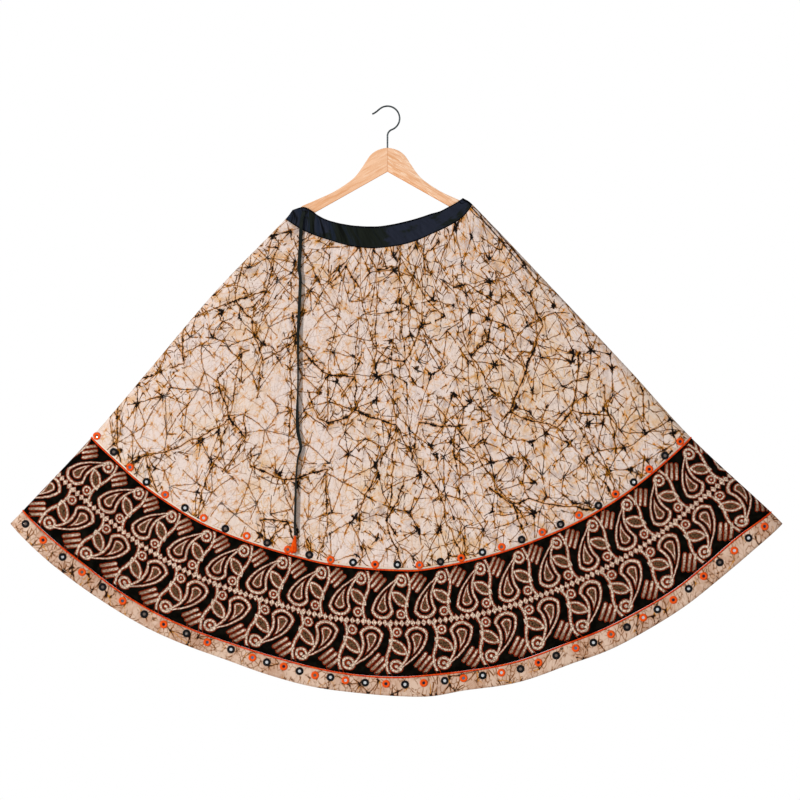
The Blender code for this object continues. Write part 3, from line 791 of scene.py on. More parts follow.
def crackle(fan, band):
    """The colour of the cloth: clouds of tint, painted fold shade in grey streaks, a hair-fine
    net, ochre cracks, dark cracks, and painted crease shade at the waist's right end.
    """
    swayed = wandered(fan, 6.0, 0.040)
    bent = wandered(wandered(swayed, 38.0, 0.0046, 3.0), 150.0, 0.0030)
    loose = wandered(fan, 11.0, 0.040, 3.0)
    speck = noise(fan, 430.0, 2.0)
    blot = noise(fan, 75.0, 3.0, 0.65)
    fold_shade_streaks = streaks(band, (420.0, 16.0, 0.0))

    # long cracks down the cloth, where it was crushed; the finer ones crowd beside them
    drawn = vectors("MULTIPLY", wandered(band, 9.0, 0.034, 4.0), (1.0, 0.40, 0.0))
    (long_gap,), *_ = cracks(drawn, 0.052, (3.0, 2.0), [(0.0, 0.42)])
    chain = falling(long_gap, 0.002, 0.014)
    around, down, _ = sides(band)
    crushed = plus(
        eased(maths("PINGPONG", plus(around, CRUSHED_AT), 0.44), 0.08, 0.40, 0.32, 0.0),
        eased(down, 0.06, 0.26, 0.13, 0.0), eased(down, 0.45, 0.65, 0.0, -0.06))
    patch = eased(plus(noise(fan, 8.0), crushed), 0.53, 0.73)
    busy = most(times(chain, 0.85), patch)

    colour = mixed(eased(noise(fan, 4.2), 0.46, 0.70), (226, 208, 199), (225, 203, 184))
    haze = eased(noise(loose, 30.0, 4.0, 0.65), 0.50, 0.68)
    haze = times(haze, eased(busy, 0.0, 1.0, 0.26, 0.60))
    colour = mixed(haze, colour, (208, 148, 52))
    smoke = eased(noise(loose, 34.0, 4.0, 0.7), 0.48, 0.70)
    smoke = times(smoke, eased(busy, 0.2, 1.0, 0.05, 0.62))
    colour = mixed(smoke, colour, (152, 130, 124))
    # painted shade of the soft folds: fine grey streaks that run down the cloth
    colour = mixed(eased(fold_shade_streaks, 0.52, 0.72, 0.0, 0.26), colour, (178, 152, 142))

    # hair-fine nets, grey and tan
    hair = veins(bent, 0.0075, (0.0, 0.0))
    shown = eased(blot, 0.42, 0.58)
    colour = mixed(line(hair, 0.00040, 0.40, shown), colour, (146, 118, 104))
    hair = veins(loose, 0.0135, (1.0, 2.0))
    shown = eased(noise(fan, 40.0), 0.48, 0.62)
    colour = mixed(line(hair, 0.00070, 0.60, shown), colour, (206, 150, 60))

    # ochre and brown cracks, the ochre richest at the knots
    (ochre_gap, brown_gap), from_knot, _ = cracks(
        bent, 0.0200, (3.0, 1.0), [(0.0, 0.34), (0.34, 0.60)])
    fat = falling(from_knot, 0.0, 0.0045)
    fat = times(fat, eased(blot, 0.40, 0.62, 0.25, 1.3))
    rich = times(
        eased(from_knot, 0.002, 0.010, 1.0, 0.45), eased(blot, 0.34, 0.50, 0.50, 1.0),
        eased(busy, 0.0, 0.6, 0.66, 1.0), eased(noise(fan, 210.0, 2.0), 0.40, 0.56, 0.34, 1.0))
    glow = line(ochre_gap, 0.0026, 0.42, rich)
    colour = mixed(glow, colour, (218, 160, 74))
    half = scaled(fat, 0.0017, 0.00062)
    colour = mixed(line(ochre_gap, half, rich), colour, (200, 122, 4))
    fringe = scaled(fat, 0.0020, 0.0009)
    colour = mixed(line(brown_gap, fringe, 0.78, rich), colour, (206, 126, 8))
    half = scaled(fat, 0.0011, 0.00048)
    fine = line(brown_gap, half, 0.95, eased(busy, 0.0, 0.6, 0.34, 1.0))
    colour = mixed(fine, colour, (52, 26, 8))

    # a second dark net, thick beside the long cracks
    web = veins(bent, 0.0290, (7.0, 5.0))
    gone = eased(blot, 0.40, 0.54)
    half = scaled(chain, 0.0006, 0.00048)
    shown = times(gone, eased(busy, 0.1, 0.9, 0.10, 1.0))
    edge = line(web, plus(half, 0.0006), 0.60)
    edge = times(edge, times(shown, eased(blot, 0.46, 0.60)))
    colour = mixed(edge, colour, (210, 140, 40))
    colour = mixed(line(web, half, shown), colour, (44, 24, 12))

    # main dark cracks with their knots
    (rust_gap, dark_gap), from_knot, tone = cracks(
        bent, 0.0390, (4.0, 4.0), [(0.0, 0.22), (0.22, 0.74)])
    heft = sides(tone)[0]
    heft = times(heft, heft, eased(busy, 0.0, 1.0, 0.30, 1.6))
    near = falling(from_knot, 0.0, 0.014)
    clot = eased(noise(fan, 240.0, 2.0), 0.40, 0.58, 0.20, 1.2)
    near = times(near, near, clot)
    half = scaled(near, scaled(heft, 0.0054, 0.0004), 0.00060)
    ragged = times(minus(speck, 0.5), scaled(near, 0.0080, 0.0004))
    halo = line(dark_gap, scaled(half, 1.2, 0.0009), 0.90)
    broken = eased(noise(fan, 130.0, 2.0), 0.40, 0.56, 0.2, 1.0)
    halo = times(halo, eased(blot, 0.40, 0.56, 0.2, 1.0), broken)
    colour = mixed(halo, colour, (208, 128, 6))
    thin = scaled(near, 0.0012, 0.00046)
    colour = mixed(line(plus(rust_gap, ragged), thin, rich), colour, (140, 70, 2))
    shown = eased(busy, 0.0, 0.5, 0.80, 1.0)
    colour = mixed(line(plus(dark_gap, ragged), half, shown), colour, (16, 9, 6))

    # the long cracks themselves, beaded, with a paler one beside
    bead = times(eased(blot, 0.46, 0.66), clot)
    half = scaled(bead, 0.0021, 0.00042)
    ragged = times(minus(speck, 0.5), scaled(bead, 0.0030, 0.0006))
    beside = size_of(minus(long_gap, 0.0055))
    pale = line(beside, 0.00040, 0.55, eased(blot, 0.40, 0.52))
    colour = mixed(pale, colour, (64, 46, 42))
    long_gap = plus(long_gap, ragged)
    edge = line(long_gap, plus(half, 0.0008), 0.65)
    colour = mixed(edge, colour, (204, 128, 24))
    colour = mixed(line(long_gap, half), colour, (16, 10, 8))

    # painted crease shade: dark parallel lines along the fold at the waist's right end
    from_side = size_of(minus(around, RIGHT_FOLD))
    swing = scaled(noise(band, 14.0, 2.0, 0.5), 0.010, -0.005)
    crease_shade = maths("PINGPONG", plus(from_side, swing), 0.0058)
    there = times(falling(from_side, 0.026, 0.040), falling(down, 0.16, 0.30))
    there = times(there, eased(blot, 0.34, 0.46, 0.45, 1.0))
    half = scaled(bead, 0.0014, 0.00170)
    return mixed(line(crease_shade, half, there), colour, (26, 15, 10))


def cotton_relief(fan, band):
    """The weave, and the small pleats that run down the cloth."""
    weave = streaks(fan, (1500.0, 1500.0, 0.0), 2.0, 0.5)
    pleats = streaks(band, PLEATS)
    raise_by(plus(times(weave, 0.15), pleats), 0.0022, 0.5)


def crackle_batik():
    made = finish_of("crackle_batik", 0.85)
    fan, band = map_of("fan"), map_of("band")
    colour = crackle(fan, band)
    turned_edge = size_of(minus(sides(band)[1], BORDER_START - 0.0034))
    colour = mixed(falling(turned_edge, 0.0011, 0.0018), colour, (236, 224, 204))
    paint(colour)
    cotton_relief(fan, band)
    return made


cloth_piece(
    "skirt_body", (BAND_END + SEAM_GAP / 2, BORDER_START - PIPING_ROOM, 96), 200,
    crackle_batik(), COTTON_THICKNESS, ["body_front", "body_back"])


# The border: a strip of dark batik between the two pipings, printed all round with two rows
# of paisleys on a vine, in worn cream and brown with rust outlines. The lower row is turned
# over. Each line was drawn in wax, so it is a little uneven and broken into beads.
MOTIF_PITCH = 0.088
MOTIF_ROW = 0.1045


def joined(x, y):
    return add_node("ShaderNodeCombineXYZ", {0: x, 1: y}).outputs[0]


def stroke(gap, half):
    return minus(size_of(gap), half)


def from_disc(place, centre, radius):
    return minus(vectors("DISTANCE", place, (*centre, 0.0)), radius)


def turned(place, centre, degrees):
    made = add_node(
        "ShaderNodeVectorRotate",
        {"Vector": place, "Center": (*centre, 0.0), "Angle": math.radians(degrees)},
        rotation_type="Z_AXIS")
    return sides(vectors("SUBTRACT", made.outputs[0], (*centre, 0.0)))[:2]


def hypot(a, b):
    return vectors("LENGTH", joined(a, b))


def border_print(band):
    """Two rows of paisleys with leaves, bars and hooks. The lower row is turned over."""
    across, down, _ = sides(band)
    row = maths("GREATER_THAN", down, MOTIF_ROW)
    flip = scaled(row, -2.0, 1.0)
    cell = maths("FRACT", plus(maths("DIVIDE", across, MOTIF_PITCH), times(row, 0.5)))
    middle = plus(MOTIF_ROW / 2, times(row, MOTIF_ROW))
    place = joined(times(minus(cell, 0.5), MOTIF_PITCH, flip), times(minus(middle, down), flip))
    place = wandered(place, 90.0, 0.0026, roughness=0.5, by=band)
    x, y, _ = sides(place)

    # the paisley: a drop whose tip bends over
    up = plus(y, 0.0205)
    lean = times(most(up, 0.0), most(up, 0.0))
    side = minus(plus(x, 0.0105), times(lean, 11.5))
    tall, big, small = 0.0545, 0.0218, 0.0020
    rise = (big - small) / tall
    tangent = rise / (1 - rise**2) ** 0.5
    share = maths("DIVIDE", scaled(size_of(side), tangent, up), tall, clamp=True)
    drop = minus(hypot(side, minus(up, times(share, tall))), scaled(share, small - big, big))
    heart = plus(drop, 0.0128)

    # a hook beside the tip, and a seed in a ring
    hook_middle, seed_middle = (0.0325, 0.0325), (0.0275, -0.0345)
    hook = stroke(from_disc(place, hook_middle, 0.0100), 0.0024)
    hook_end = from_disc(place, hook_middle, 0.0034)
    seed = stroke(from_disc(place, seed_middle, 0.0074), 0.0018)
    seed_end = from_disc(place, seed_middle, 0.0022)

    # three bars
    bar_along, off = turned(place, (-0.0215, 0.0290), -48.0)
    step = times(least(most(maths("ROUND", maths("DIVIDE", off, 0.0104)), -1.0), 1.0), 0.0104)
    beyond = most(stroke(bar_along, 0.0150), 0.0)
    bars = minus(hypot(beyond, minus(off, step)), 0.0025)

    # a leaf
    along, off = turned(place, (0.0275, -0.0050), 42.0)
    leaf = minus(hypot(plus(size_of(off), 0.0170), along), 0.0262)

    # a wavy stem between neighbours
    wave = times(maths("SINE", times(y, 2 * math.pi / MOTIF_ROW)), 0.0060)
    beside = stroke(stroke(minus(x, wave), 0.0435), 0.0022)

    # a row of small teeth at the foot
    tooth = maths("PINGPONG", x, 0.0055)
    teeth = plus(y, MOTIF_ROW / 2, times(tooth, -1.25))

    strokes = least(
        stroke(drop, 0.0026), stroke(heart, 0.0017), hook, hook_end, seed, seed_end, bars,
        stroke(leaf, 0.0020), beside, teeth)
    beads = veins(vectors("MULTIPLY", band, (1.0, 0.75, 0.0)), 0.0062, (0.0, 0.0))
    inside = least(heart, leaf)
    mottle = noise(band, 330.0)
    worn = noise(band, 60.0)
    fleck = noise(band, 700.0, 2.0, 0.5)

    colour = mixed(eased(worn, 0.40, 0.70), (4, 4, 2), (17, 15, 10))
    filled = mixed(eased(mottle, 0.36, 0.66), (26, 13, 7), (114, 84, 58))
    colour = mixed(falling(inside, -0.0030, -0.0018), colour, filled)
    rim = size_of(minus(strokes, 0.0012))
    rim = times(falling(rim, 0.0002, 0.0007), eased(fleck, 0.44, 0.55))
    colour = mixed(rim, colour, (204, 66, 26))
    cream = mixed(eased(mottle, 0.40, 0.70), (232, 210, 190), (162, 122, 92))
    on_bar = maths("LESS_THAN", minus(bars, strokes), 0.0001)
    faded = times(eased(bar_along, -0.012, 0.014), on_bar, 0.72)
    cream = mixed(faded, cream, (104, 74, 48))
    cream = mixed(eased(strokes, -0.0012, -0.0002, 0.0, 0.40), cream, (150, 104, 76))
    cream = mixed(eased(beads, 0.0002, 0.0008, 0.75, 0.0), cream, (84, 52, 36))
    print_here = times(eased(down, 0.0046, 0.0054), falling(down, 0.2034, 0.2042))
    return mixed(times(print_here, falling(strokes, -0.0005, 0.0003)), colour, cream)


def border_batik():
    made = finish_of("border_batik", 0.85, 0.02)
    fan, band = map_of("fan"), map_of("band")
    paint(border_print(vectors("SUBTRACT", band, (0.0, BORDER_START, 0.0))))
    cotton_relief(fan, band)
    return made


cloth_piece(
    "border_band", (BORDER_START + PIPING_ROOM, BORDER_END - PIPING_ROOM, 34), 240,
    border_batik(), COTTON_THICKNESS, ["border_front", "border_back"])


# The hem band: a plain strip of the crackle cotton, a little browner, with fewer cracks,
# turned up and stitched along its lower edge.
HEM_THICKNESS = 0.0009


def hem_cotton():
    made = finish_of("hem_cotton", 0.85)
    fan, band = map_of("fan"), map_of("band")
    bent = wandered(wandered(fan, 6.0, 0.060), 38.0, 0.009, 3.0)
    blot = noise(fan, 60.0, 3.0, 0.65)
    shade = streaks(band, (36.0, 18.0, 0.0))
    colour = mixed(eased(shade, 0.40, 0.68), (214, 185, 164), (192, 153, 128))
    crowd = eased(noise(fan, 7.0, 2.0, 0.5), 0.46, 0.62)
    colour = mixed(times(crowd, 0.35), colour, (168, 130, 112))
    hair = veins(bent, 0.0090, (5.0, 1.0))
    shown = eased(blot, 0.40, 0.54)
    colour = mixed(line(hair, 0.0007, 0.85, shown), colour, (132, 84, 46))
    (ochre_gap, dark_gap), from_knot, _ = cracks(
        bent, 0.0220, (2.0, 6.0), [(0.0, 0.16), (0.16, 0.70)])
    near = falling(from_knot, 0.0, 0.010)
    near = times(near, near, eased(crowd, 0.0, 1.0, 0.4, 1.4))
    half = scaled(near, 0.0013, 0.00058)
    shown = eased(plus(blot, times(crowd, 0.12)), 0.44, 0.58, 0.12, 1.0)
    colour = mixed(line(ochre_gap, half, shown), colour, (190, 126, 40))
    edge = line(dark_gap, plus(half, 0.0008), 0.60)
    colour = mixed(times(edge, shown), colour, (182, 108, 34))
    colour = mixed(line(dark_gap, half, shown), colour, (36, 18, 10))
    paint(colour)
    raise_by(streaks(band, PLEATS), 0.0026, 0.5)
    return made


cloth_piece(
    "hem_band", (BORDER_END + PIPING_ROOM, HEM_END, 8), 240,
    hem_cotton(), HEM_THICKNESS, ["hem_front", "hem_back"])


# The waistband: a doubled band of dark navy cotton that carries the drawstring. Worn patches
# show green-black. The drawstring gathers it, and it rides on the two hanger arms.
BAND_THICKNESS = 0.0014
EYELET_SHADE_RADIUS = 0.0034

# The band's length round the waist, and the middle of the hole that the tape comes out of
BAND_ROUND = 0.7906
EYELET = (-0.1632, -0.0094, -0.2102)


def navy_cotton():
    made = finish_of("navy_cotton", 0.75, 0.02)
    band = map_of("band")
    along, down, _ = sides(band)
    worn = streaks(band, (26.0, 40.0, 0.0))
    middle = eased(size_of(minus(along, 0.150)), 0.035, 0.070, 0.30, 0.0)
    beside_eyelet = minus(scaled(down, -0.20, along), 0.0485)
    middle = most(middle, eased(size_of(beside_eyelet), 0.005, 0.009, 0.30, 0.0))
    patchy = eased(plus(worn, middle), 0.52, 0.66)
    colour = mixed(patchy, (38, 42, 54), (27, 31, 25))
    # the gathers' noise both raises them and paints them: navy on the ridges, and near black in
    # the troughs as painted shade, most near the band's left side
    gather_relief_and_shade = noise(joined(scaled(down, -0.45, along), times(down, 0.10)), 95.0, 2.0, 0.5)
    from_left = maths("PINGPONG", along, BAND_ROUND / 2)
    tight = eased(from_left, 0.07, 0.19, 0.9, 0.14)
    colour = mixed(times(eased(gather_relief_and_shade, 0.50, 0.60), tight), colour, (30, 38, 52))
    colour = mixed(times(falling(gather_relief_and_shade, 0.38, 0.46), tight), colour, (9, 10, 9))
    weave = streaks(band, (900.0, 1500.0, 0.0), 2.0, 0.5)
    colour = mixed(eased(weave, 0.35, 0.75, 0.0, 0.35), colour, (15, 17, 22))
    from_right = minus(BAND_ROUND / 2, from_left)
    below = minus(down, 0.0085)
    tuck = size_of(minus(from_right, scaled(times(below, below), -32.0, 0.0165)))
    # painted shade, near black: along the band's top edge, its seam with the body, its right end,
    # the tuck at that end, and a spot where the eyelet hole is
    hole_shade = minus(vectors("DISTANCE", own_place(), EYELET), EYELET_SHADE_RADIUS)
    rim = most(
        falling(down, 0.0024, 0.0046),
        eased(down, BAND_END - 0.0030, BAND_END - 0.0012, 0.0, 0.9),
        falling(from_right, 0.0076, 0.0094), eased(tuck, 0.0006, 0.0018, 0.95, 0.0),
        falling(hole_shade, 0.0, 0.0006))
    paint(mixed(rim, colour, (4, 4, 6)))
    creased = plus(streaks(band, (110.0, 22.0, 0.0)), times(gather_relief_and_shade, 1.6))
    raise_by(plus(times(weave, 0.12), creased), 0.0026, 0.8)
    return made


cloth_piece(
    "waistband", (0.0, BAND_END - SEAM_GAP / 2, 22), 220,
    navy_cotton(), BAND_THICKNESS, ["waistband_front", "waistband_back"])


# The pipings: orange-red cotton rolled over a cord and caught in the two border seams, all
# round the skirt.
PIPING_RADIUS = 0.0015
PIPING_PROUD = 0.0013
PIPING_SUNK = 0.0003


def piping_cotton():
    made = finish_of("piping_cotton", 0.75)
    place = map_of("piping")
    along, around, _ = sides(place)
    puckers = maths("SINE", plus(times(along, 900.0), times(around, 2 * math.pi)))
    tone = streaks(place, (60.0, 2.0, 0.0), 3.0, 0.5)
    colour = mixed(eased(tone, 0.38, 0.66), (208, 52, 10), (238, 86, 20))
    colour = mixed(eased(puckers, 0.2, 1.0, 0.0, 0.35), colour, (150, 34, 18))
    paint(colour)
    raise_by(puckers, 0.0003, 0.6)
    return made


def piping_cord(name, down, nodes):
    tube = cloth_tube(name + "_route", [down - 0.0005, down + 0.0005], 240)
    places = np.empty(len(tube.vertices) * 3)
    tube.vertices.foreach_get("co", places)
    places = places.reshape(2, -1, 3)
    bpy.data.meshes.remove(tube)
    spine = places.mean(axis=0)
    downwards = unit(places[1] - places[0])
    heading = unit(np.roll(spine, -1, axis=0) - np.roll(spine, 1, axis=0))
    out = np.cross(heading, downwards)
    turn = np.linspace(0.0, 2 * np.pi, 9)[:-1]
    points = (spine[:, None] + downwards[:, None] * (PIPING_RADIUS * np.sin(turn))[None, :, None]
              + out[:, None] * (PIPING_PROUD * np.cos(turn) - PIPING_SUNK)[None, :, None])
    points = np.concatenate([points, points[:1]])
    gone = run_of(points[:, 0])
    share = np.linspace(0.0, 1.0, 9)
    maps = {"piping": np.stack(np.broadcast_arrays(gone[:, None], share[None]), axis=-1)}
    mesh = mesh_through(name, points, True, maps)
    close_up(mesh)
    piece = hang_up(name, mesh, orange_piping)
    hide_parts(*nodes)


orange_piping = piping_cotton()
piping_cord("piping_upper_cord", BORDER_START, ["piping_upper_front", "piping_upper_back"])
piping_cord("piping_lower_cord", BORDER_END, ["piping_lower_front", "piping_lower_back"])


# The mirror work: small round mirrors held by rings of buttonhole stitch, orange and black in
# turn, in a row above the upper piping and a row below the lower one, round front and back.
MIRROR_RADIUS = 0.0034
RING_RADIUS = 0.0053
RING_THICKNESS = 0.0026
RING_LIFT = 0.0004
MIRROR_LIFT = 0.0006

# Each row of mirrors: how many, how far down, and the shares across of the first and last
UPPER_ROW = (31, 0.6785, 0.0049, 0.9838)
LOWER_ROW = (42, 0.9135, 0.0130, 0.9870)

# How far some rings stray from even spacing, in ring steps, by their number along the row
UPPER_STRAY = [(0, 0.0), (8, 0.34), (15, 0.46), (22, 0.34), (30, 0.0)]
LOWER_STRAY = [(0, 0.0), (5, 1.2), (11, 2.2), (17, 1.0), (23, 0.8), (31, 0.45), (35, 0.0),
               (41, -0.2)]
even = np.random.default_rng(7)


def ring_thread(name, dark, light):
    made = finish_of(name, 0.60, 0.10)
    place = own_place()
    shade = noise(place, 900.0, 2.0)
    colour = mixed(eased(shade, 0.35, 0.65), dark, light)
    paint(colour)
    raise_by(noise(place, 2600.0, 1.0, 0.5), 0.0002, 0.6)
    return made


def mirror_glass():
    made = finish_of("mirror_glass", 0.12, 0.5)
    shader.inputs["Metallic"].default_value = 0.6
    # the glass's colour is painted reflection: each mirror's tone picks dark navy, blue, brownish
    # or white, while its metallic finish adds real reflection
    cloudy = scaled(noise(own_place(), 260.0, 2.0, 0.5), 0.2, -0.1)
    tone = plus(sides(map_of("tone"))[0], cloudy)
    colour = mixed(eased(tone, 0.30, 0.38), (36, 42, 60), (106, 132, 160))
    colour = mixed(eased(tone, 0.58, 0.64), colour, (128, 112, 102))
    colour = mixed(eased(tone, 0.80, 0.86), colour, (238, 241, 244))
    paint(colour)
    return made


def on_cloth(down, face, share):
    """Points on the cloth's outer side, round the side folds too."""
    _, length, reach = ring_size(down)
    inside = np.clip(np.minimum(share, 1.0 - share) * length / reach, 0.0, 1.0)
    return cloth_at(down, face, share, np.sqrt(1.0 - (1.0 - inside) ** 2))


def seats(down, face, share, aside, under):
    """Where small things lie on the cloth: middle, across, down and outward."""
    middle = on_cloth(down, face, share)
    across = unit(on_cloth(down, face, share + aside) - middle)
    outward = np.cross(across, on_cloth(down + under, face, share) - middle)
    outward = unit(outward * np.sign(outward[:, 1] * face[0])[:, None])
    return np.stack([middle, across, np.cross(outward, across), outward], axis=1)


def spots(row, stray, face):
    """Where a row's mirrors sit on one face, none quite in line."""
    count, down, first, last = row
    numbers, by = np.array(stray).T
    number = np.arange(count) + np.interp(np.arange(count), numbers, by)
    share = first + (last - first) * number / (count - 1)
    share = share + even.uniform(-0.0012, 0.0012, count)
    down = down + even.uniform(-0.0012, 0.0012, count)
    return seats(down, face, share, 0.002, 0.002)


def copies(name, shape, places, lift, finish, painted_reflections=None):
    """One piece with a copy of the small shape, turned and set, at each place."""
    points = np.empty(len(shape.vertices) * 3)
    shape.vertices.foreach_get("co", points)
    points = points.reshape(-1, 3)
    faces = [tuple(face.vertices) for face in shape.polygons]
    middle, across, below, outward = np.moveaxis(places, 1, 0)
    spread = (middle[:, None] + points[None, :, 0:1] * across[:, None]
              + points[None, :, 1:2] * below[:, None]
              + (points[None, :, 2:3] + lift) * outward[:, None])
    every = [
        tuple(corner + number * len(points) for corner in face)
        for number in range(len(places)) for face in faces
    ]
    mesh = bpy.data.meshes.new(name)
    mesh.from_pydata(spread.reshape(-1, 3).tolist(), [], every)
    if painted_reflections is not None:
        layer = mesh.uv_layers.new(name="tone")
        corners = sum(len(face) for face in faces)
        values = np.repeat(painted_reflections, corners)
        layer.data.foreach_set("uv", np.stack([values, values], axis=1).astype(np.float32).ravel())
    mesh.shade_smooth()
    hang_up(name, mesh, finish)


bpy.ops.object.select_all(action="DESELECT")
bpy.ops.mesh.primitive_torus_add(
    major_segments=36, minor_segments=6, major_radius=RING_RADIUS, minor_radius=RING_THICKNESS)
ring = bpy.context.object
for point in ring.data.vertices:
    turn = round(math.degrees(math.atan2(point.co.y, point.co.x)) / 10) % 2
    point.co.z *= 0.62 * (1.0 if turn else 0.72)
    reach = math.hypot(point.co.x, point.co.y)
    wide = 1.0 + (0.06 if turn else -0.03) * (reach > RING_RADIUS)
    point.co.x *= wide
    point.co.y *= wide
bpy.ops.mesh.primitive_circle_add(vertices=20, radius=MIRROR_RADIUS, fill_type="TRIFAN")
glass = bpy.context.object
for point in glass.data.vertices:
    if math.hypot(point.co.x, point.co.y) < 0.0001:
        point.co.z = 0.0005

orange_spots, black_spots = [], []
for face in (FRONT, BACK):
    for first, (row, stray) in enumerate([(UPPER_ROW, UPPER_STRAY), (LOWER_ROW, LOWER_STRAY)]):
        found = spots(row, stray, face)
        orange_spots.append(found[first::2])
        black_spots.append(found[1 - first::2])
orange_spots = np.concatenate(orange_spots)
black_spots = np.concatenate(black_spots)
copies("mirror_rings_orange", ring.data, orange_spots, RING_LIFT,
       ring_thread("thread_orange", (214, 58, 4), (242, 98, 18)))
copies("mirror_rings_black", ring.data, black_spots, RING_LIFT,
       ring_thread("thread_black", (6, 6, 7), (22, 21, 24)))
all_spots = np.concatenate([orange_spots, black_spots])
# each mirror's painted reflection: the orange-ringed ones mostly dark and some up to white, the
# black-ringed ones from brownish to white
painted_reflections = np.concatenate([even.uniform(0.0, 1.0, len(orange_spots)) ** 1.8,
                        even.uniform(0.62, 1.0, len(black_spots))])
copies("mirror_discs", glass.data, all_spots, MIRROR_LIFT, mirror_glass(), painted_reflections)
for point in ring.data.vertices:
    point.co *= 0.5
out = np.array([[EYELET, (1.0, 0.0, 0.0), (0.0, 0.0, -1.0), (0.0, -1.0, 0.0)]])
copies("eyelet_ring", ring.data, out, RING_LIFT,
       ring_thread("thread_eyelet", (6, 7, 9), (18, 20, 26)))
for pattern in (ring, glass):
    bpy.data.objects.remove(pattern)


# The stitching: two rows on the waistband, one above the upper piping, one below the lower
# piping and one along the hem, each stitch lying in the cloth it holds.
STITCH_LENGTH = 0.0024
STITCH_STEP = 0.0034
STITCH_THICKNESS = 0.00064
STITCH_LIFT = 0.0001
BAND_ROWS = [0.0032, BAND_END - 0.0026]
HEM_ROWS = [BORDER_START - 0.0052, BORDER_END + 0.0034, HEM_END - 0.0060]


def stitch_places(downs):
    found = []
    for down in downs:
        for face in (FRONT, BACK):
            ends = on_cloth(np.full(400, down), face, np.linspace(0.01, 0.99, 400))
            count = int(run_of(ends)[-1] / STITCH_STEP)
            share = np.linspace(0.01, 0.99, count)
            found.append(seats(np.full(count, down), face, share, 0.0005, 0.001))
    return np.concatenate(found)


bpy.ops.mesh.primitive_uv_sphere_add(segments=6, ring_count=4, radius=1.0)
stitch = bpy.context.object
for point in stitch.data.vertices:
    point.co = (point.co.z * STITCH_LENGTH / 2, point.co.y * STITCH_THICKNESS / 2,
                point.co.x * STITCH_THICKNESS / 2)
copies("stitches_band", stitch.data, stitch_places(BAND_ROWS), STITCH_LIFT,
       ring_thread("thread_navy", (20, 24, 36), (40, 46, 62)))
copies("stitches_hem", stitch.data, stitch_places(HEM_ROWS), STITCH_LIFT,
       ring_thread("thread_cream", (206, 186, 160), (232, 216, 194)))
bpy.data.objects.remove(stitch)


# The hanger arms: two flat beech arms, glued together at a mitre in the middle, with their
# long edges rounded over and their tips rounded off. Each has its own run of grain.
ARM_THICKNESS = 0.012
ARM_EDGE_ROUND = 0.003
ARM_UNDER_CENTRE = -0.1292
ARM_UNDER_SLOPE = 0.563
ARM_TIP_REACH = 0.014
ARM_TOP_EDGE = [
    (0.000, -0.0820), (0.008, -0.0830), (0.020, -0.0868), (0.028, -0.0915),
    (0.036, -0.0990), (0.045, -0.1128), (0.054, -0.1262), (0.064, -0.1392),
    (0.076, -0.1497), (0.092, -0.1607), (0.112, -0.1724), (0.143, -0.1864),
    (0.183, -0.2035),
]


def beech(name, slant, strength, fineness, paleness):
    """Planed beech: long streaks along the arm, short pale flecks, a satin varnish, and painted
    orange shade on the undersides.
    """
    made = finish_of(name, 0.50, 0.10)
    place = own_place()
    along = add_node(
        "ShaderNodeMapping",
        {"Vector": place, "Rotation": (0.0, math.radians(slant), 0.0)}).outputs[0]
    streak = noise(vectors("MULTIPLY", along, (14.0, 240.0, 240.0)), fineness)
    broad = noise(vectors("MULTIPLY", along, (5.0, 60.0, 60.0)), fineness, 2.0, 0.5)
    fleck = streaks(along, (60.0, 460.0, 460.0), 2.0, 0.5)
    colour = mixed(eased(broad, 0.35, 0.68), (240, 194, 158), (228, 172, 128))
    colour = mixed(eased(streak, 0.46, 0.70, 0.0, strength), colour, (214, 148, 98))
    colour = mixed(eased(fleck, 0.52, 0.66, 0.0, paleness), colour, (250, 220, 192))
    from_joint = size_of(sides(place)[0])
    colour = mixed(eased(from_joint, 0.0004, 0.0012, 0.40, 0.0), colour, (178, 108, 60))
    # painted shade: a deeper orange on faces that turn downwards, the undersides of the rounded
    # edges
    facing = sides(add_node("ShaderNodeNewGeometry").outputs["Normal"])[2]
    colour = mixed(eased(facing, -0.42, 0.02, 0.9, 0.0), colour, (250, 160, 80))
    paint(colour)
    raise_by(streak, 0.0003, 0.3)
    return made


def draw_out(*by):
    bpy.ops.mesh.extrude_region_move(TRANSFORM_OT_translate={"value": by})


def face_outwards():
    """Turns all faces outwards and leaves edit mode."""
    bpy.ops.mesh.select_all(action="SELECT")
    bpy.ops.mesh.normals_make_consistent(inside=False)
    bpy.ops.object.mode_set(mode="OBJECT")


def finish_off(piece, finish, node):
    """Smooths a hanger piece, gives it its finish and puts it in its node's place."""
    bpy.ops.object.shade_smooth_by_angle(angle=math.radians(40))
    piece.data.materials.append(finish)
    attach(piece, "root")
    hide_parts(node)


